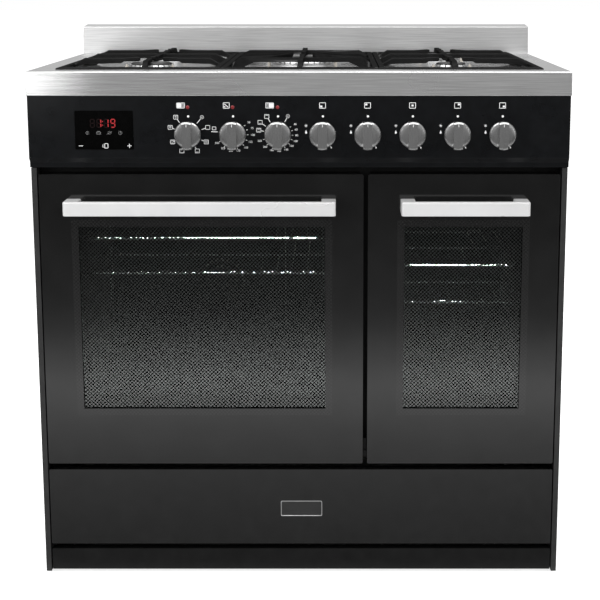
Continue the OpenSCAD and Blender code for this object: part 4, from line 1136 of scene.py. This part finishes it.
def world(background, fill, mirrored):
    """A white surround for the camera, and softer levels for light and for mirrors."""
    scene_world = bpy.data.worlds.new("studio")
    bpy.context.scene.world = scene_world
    scene_world.use_nodes = True
    tree = scene_world.node_tree
    tree.nodes.clear()
    out = tree.nodes.new("ShaderNodeOutputWorld")
    path = tree.nodes.new("ShaderNodeLightPath")
    glow = tree.nodes.new("ShaderNodeBackground")
    glow.inputs["Color"].default_value = (1.0, 1.0, 1.0, 1.0)

    def mix(fac, low, high):
        node = tree.nodes.new("ShaderNodeMix")
        node.data_type = "FLOAT"
        tree.links.new(fac, node.inputs["Factor"])
        floats = [s for s in node.inputs if s.type == "VALUE"][1:3]
        for socket, value in zip(floats, (low, high)):
            if isinstance(value, (int, float)):
                socket.default_value = value
            else:
                tree.links.new(value, socket)
        return node.outputs[0]

    plain = mix(path.outputs["Is Glossy Ray"], fill, mirrored)
    seen = mix(path.outputs["Is Camera Ray"], plain, background)
    through = mix(path.outputs["Is Transmission Ray"], seen, background)
    tree.links.new(through, glow.inputs["Strength"])
    tree.links.new(glow.outputs[0], out.inputs["Surface"])


FLOOR_REACH = 40.0
stage_plane("floor", -FLOOR_REACH, FLOOR_REACH, -FLOOR_REACH, FLOOR_REACH, 0.0, floor_material(0.75))

# What the doors mirror: a soft pool of light on the floor, as (metres in front of them, level)
POOL = [(0.0, 0.30), (0.5, 0.60), (0.78, 0.98), (1.0, 1.40), (1.12, 1.62), (1.2, 1.56), (1.29, 1.24),
        (1.4, 0.98), (1.52, 0.82), (1.62, 0.60), (1.78, 0.36), (1.95, 0.25), (2.5, 0.20), (3.1, 0.15),
        (3.7, 0.09), (6.0, 0.06)]
POOL_REACH = 6.0
CARD_Z = 0.004
mirror_only(stage_plane("pool_card", -6.0, 6.0, Y_DOOR * MM - POOL_REACH, Y_DOOR * MM - 0.02, CARD_Z,
                        card_material("pool", Y_DOOR * MM, POOL_REACH, 1.7, POOL,
                                      fade=(0.75, 1.7, 0.25))))
mirror_only(stage_plane("far_card", -20.0, 20.0, -36.0, Y_DOOR * MM - POOL_REACH, CARD_Z,
                        card_material("far", Y_DOOR * MM - POOL_REACH, 30.0, 0.6,
                                      [(0.0, 0.2), (14.0, 0.5)])))
world(1.0, 0.6, 0.6)


# The left end card, in metres: its light changes evenly from one (x, level) to the other
END_CARD_X = (-0.90, -0.43)
END_CARD_Y = -0.70
END_CARD_Z = (0.812, 0.858)
END_CARD_RAMP = (-0.42, 1.0, -0.54, 6.6)


def end_card(name):
    """A soft light card in front of the cooker's left end, seen only by mirrors."""
    (x0, x1), y, (z0, z1) = END_CARD_X, END_CARD_Y, END_CARD_Z
    mesh = bpy.data.meshes.new(name)
    mesh.from_pydata([(x0, y, z0), (x1, y, z0), (x1, y, z1), (x0, y, z1)], [], [(0, 1, 2, 3)])
    mat = bpy.data.materials.new(name)
    mat.use_nodes = True
    tree = mat.node_tree
    tree.nodes.clear()
    out = tree.nodes.new("ShaderNodeOutputMaterial")
    glow = tree.nodes.new("ShaderNodeEmission")
    coord = tree.nodes.new("ShaderNodeTexCoord")
    split = tree.nodes.new("ShaderNodeSeparateXYZ")
    rise = tree.nodes.new("ShaderNodeMapRange")
    for socket, value in zip(("From Min", "To Min", "From Max", "To Max"), END_CARD_RAMP):
        rise.inputs[socket].default_value = value
    tree.links.new(coord.outputs["Object"], split.inputs["Vector"])
    tree.links.new(split.outputs["X"], rise.inputs["Value"])
    tree.links.new(rise.outputs["Result"], glow.inputs["Strength"])
    tree.links.new(glow.outputs[0], out.inputs["Surface"])
    mesh.materials.append(mat)
    obj = bpy.data.objects.new(name, mesh)
    bpy.context.scene.collection.objects.link(obj)
    mirror_only(obj)


end_card("left_end_card")
area_light("overhead", (0.0, -0.5, 2.7), (0.0, 0.0, 0.9), (3.0, 2.0), 55.0)
area_light("left_box", (-2.4, -2.2, 1.9), (0.0, -0.1, 0.6), (1.4, 2.0), 45.0)
area_light("right_box", (2.6, -2.4, 1.7), (0.0, -0.1, 0.6), (1.4, 2.0), 30.0)

# A narrow strip of light in the top of each oven's mouth, which falls on the shelves' front wires
STRIP_Y = (Y_MOUTH + 16.0) * MM
STRIP_Z = (Z_CAVITY + CAVITY_H - 12.0) * MM
STRIP_W = 0.01
STRIP_POWER = 0.16
STRIP_SPREAD = math.radians(14.0)
for label, centre, length in (("main", X_MAIN, 0.38), ("second", X_SECOND, 0.18)):
    strip = area_light(label + "_oven_light", (centre * MM, STRIP_Y, STRIP_Z),
                       (centre * MM, STRIP_Y, Z_CAVITY * MM), (length, STRIP_W), STRIP_POWER)
    strip.data.spread = STRIP_SPREAD

camera_data = bpy.data.cameras.new("camera")
camera = bpy.data.objects.new("camera", camera_data)
bpy.context.scene.collection.objects.link(camera)
camera.location = (0.0611, -2.5933, 1.0345)
camera.rotation_euler = (math.pi / 2 - 0.1781, 0.0, 0.0)
camera_data.sensor_width = 36.0
camera_data.lens = 84.05
camera_data.shift_x = -0.06
camera_data.shift_y = -0.12
bpy.context.scene.camera = camera
bpy.context.scene.view_settings.view_transform = "Standard"
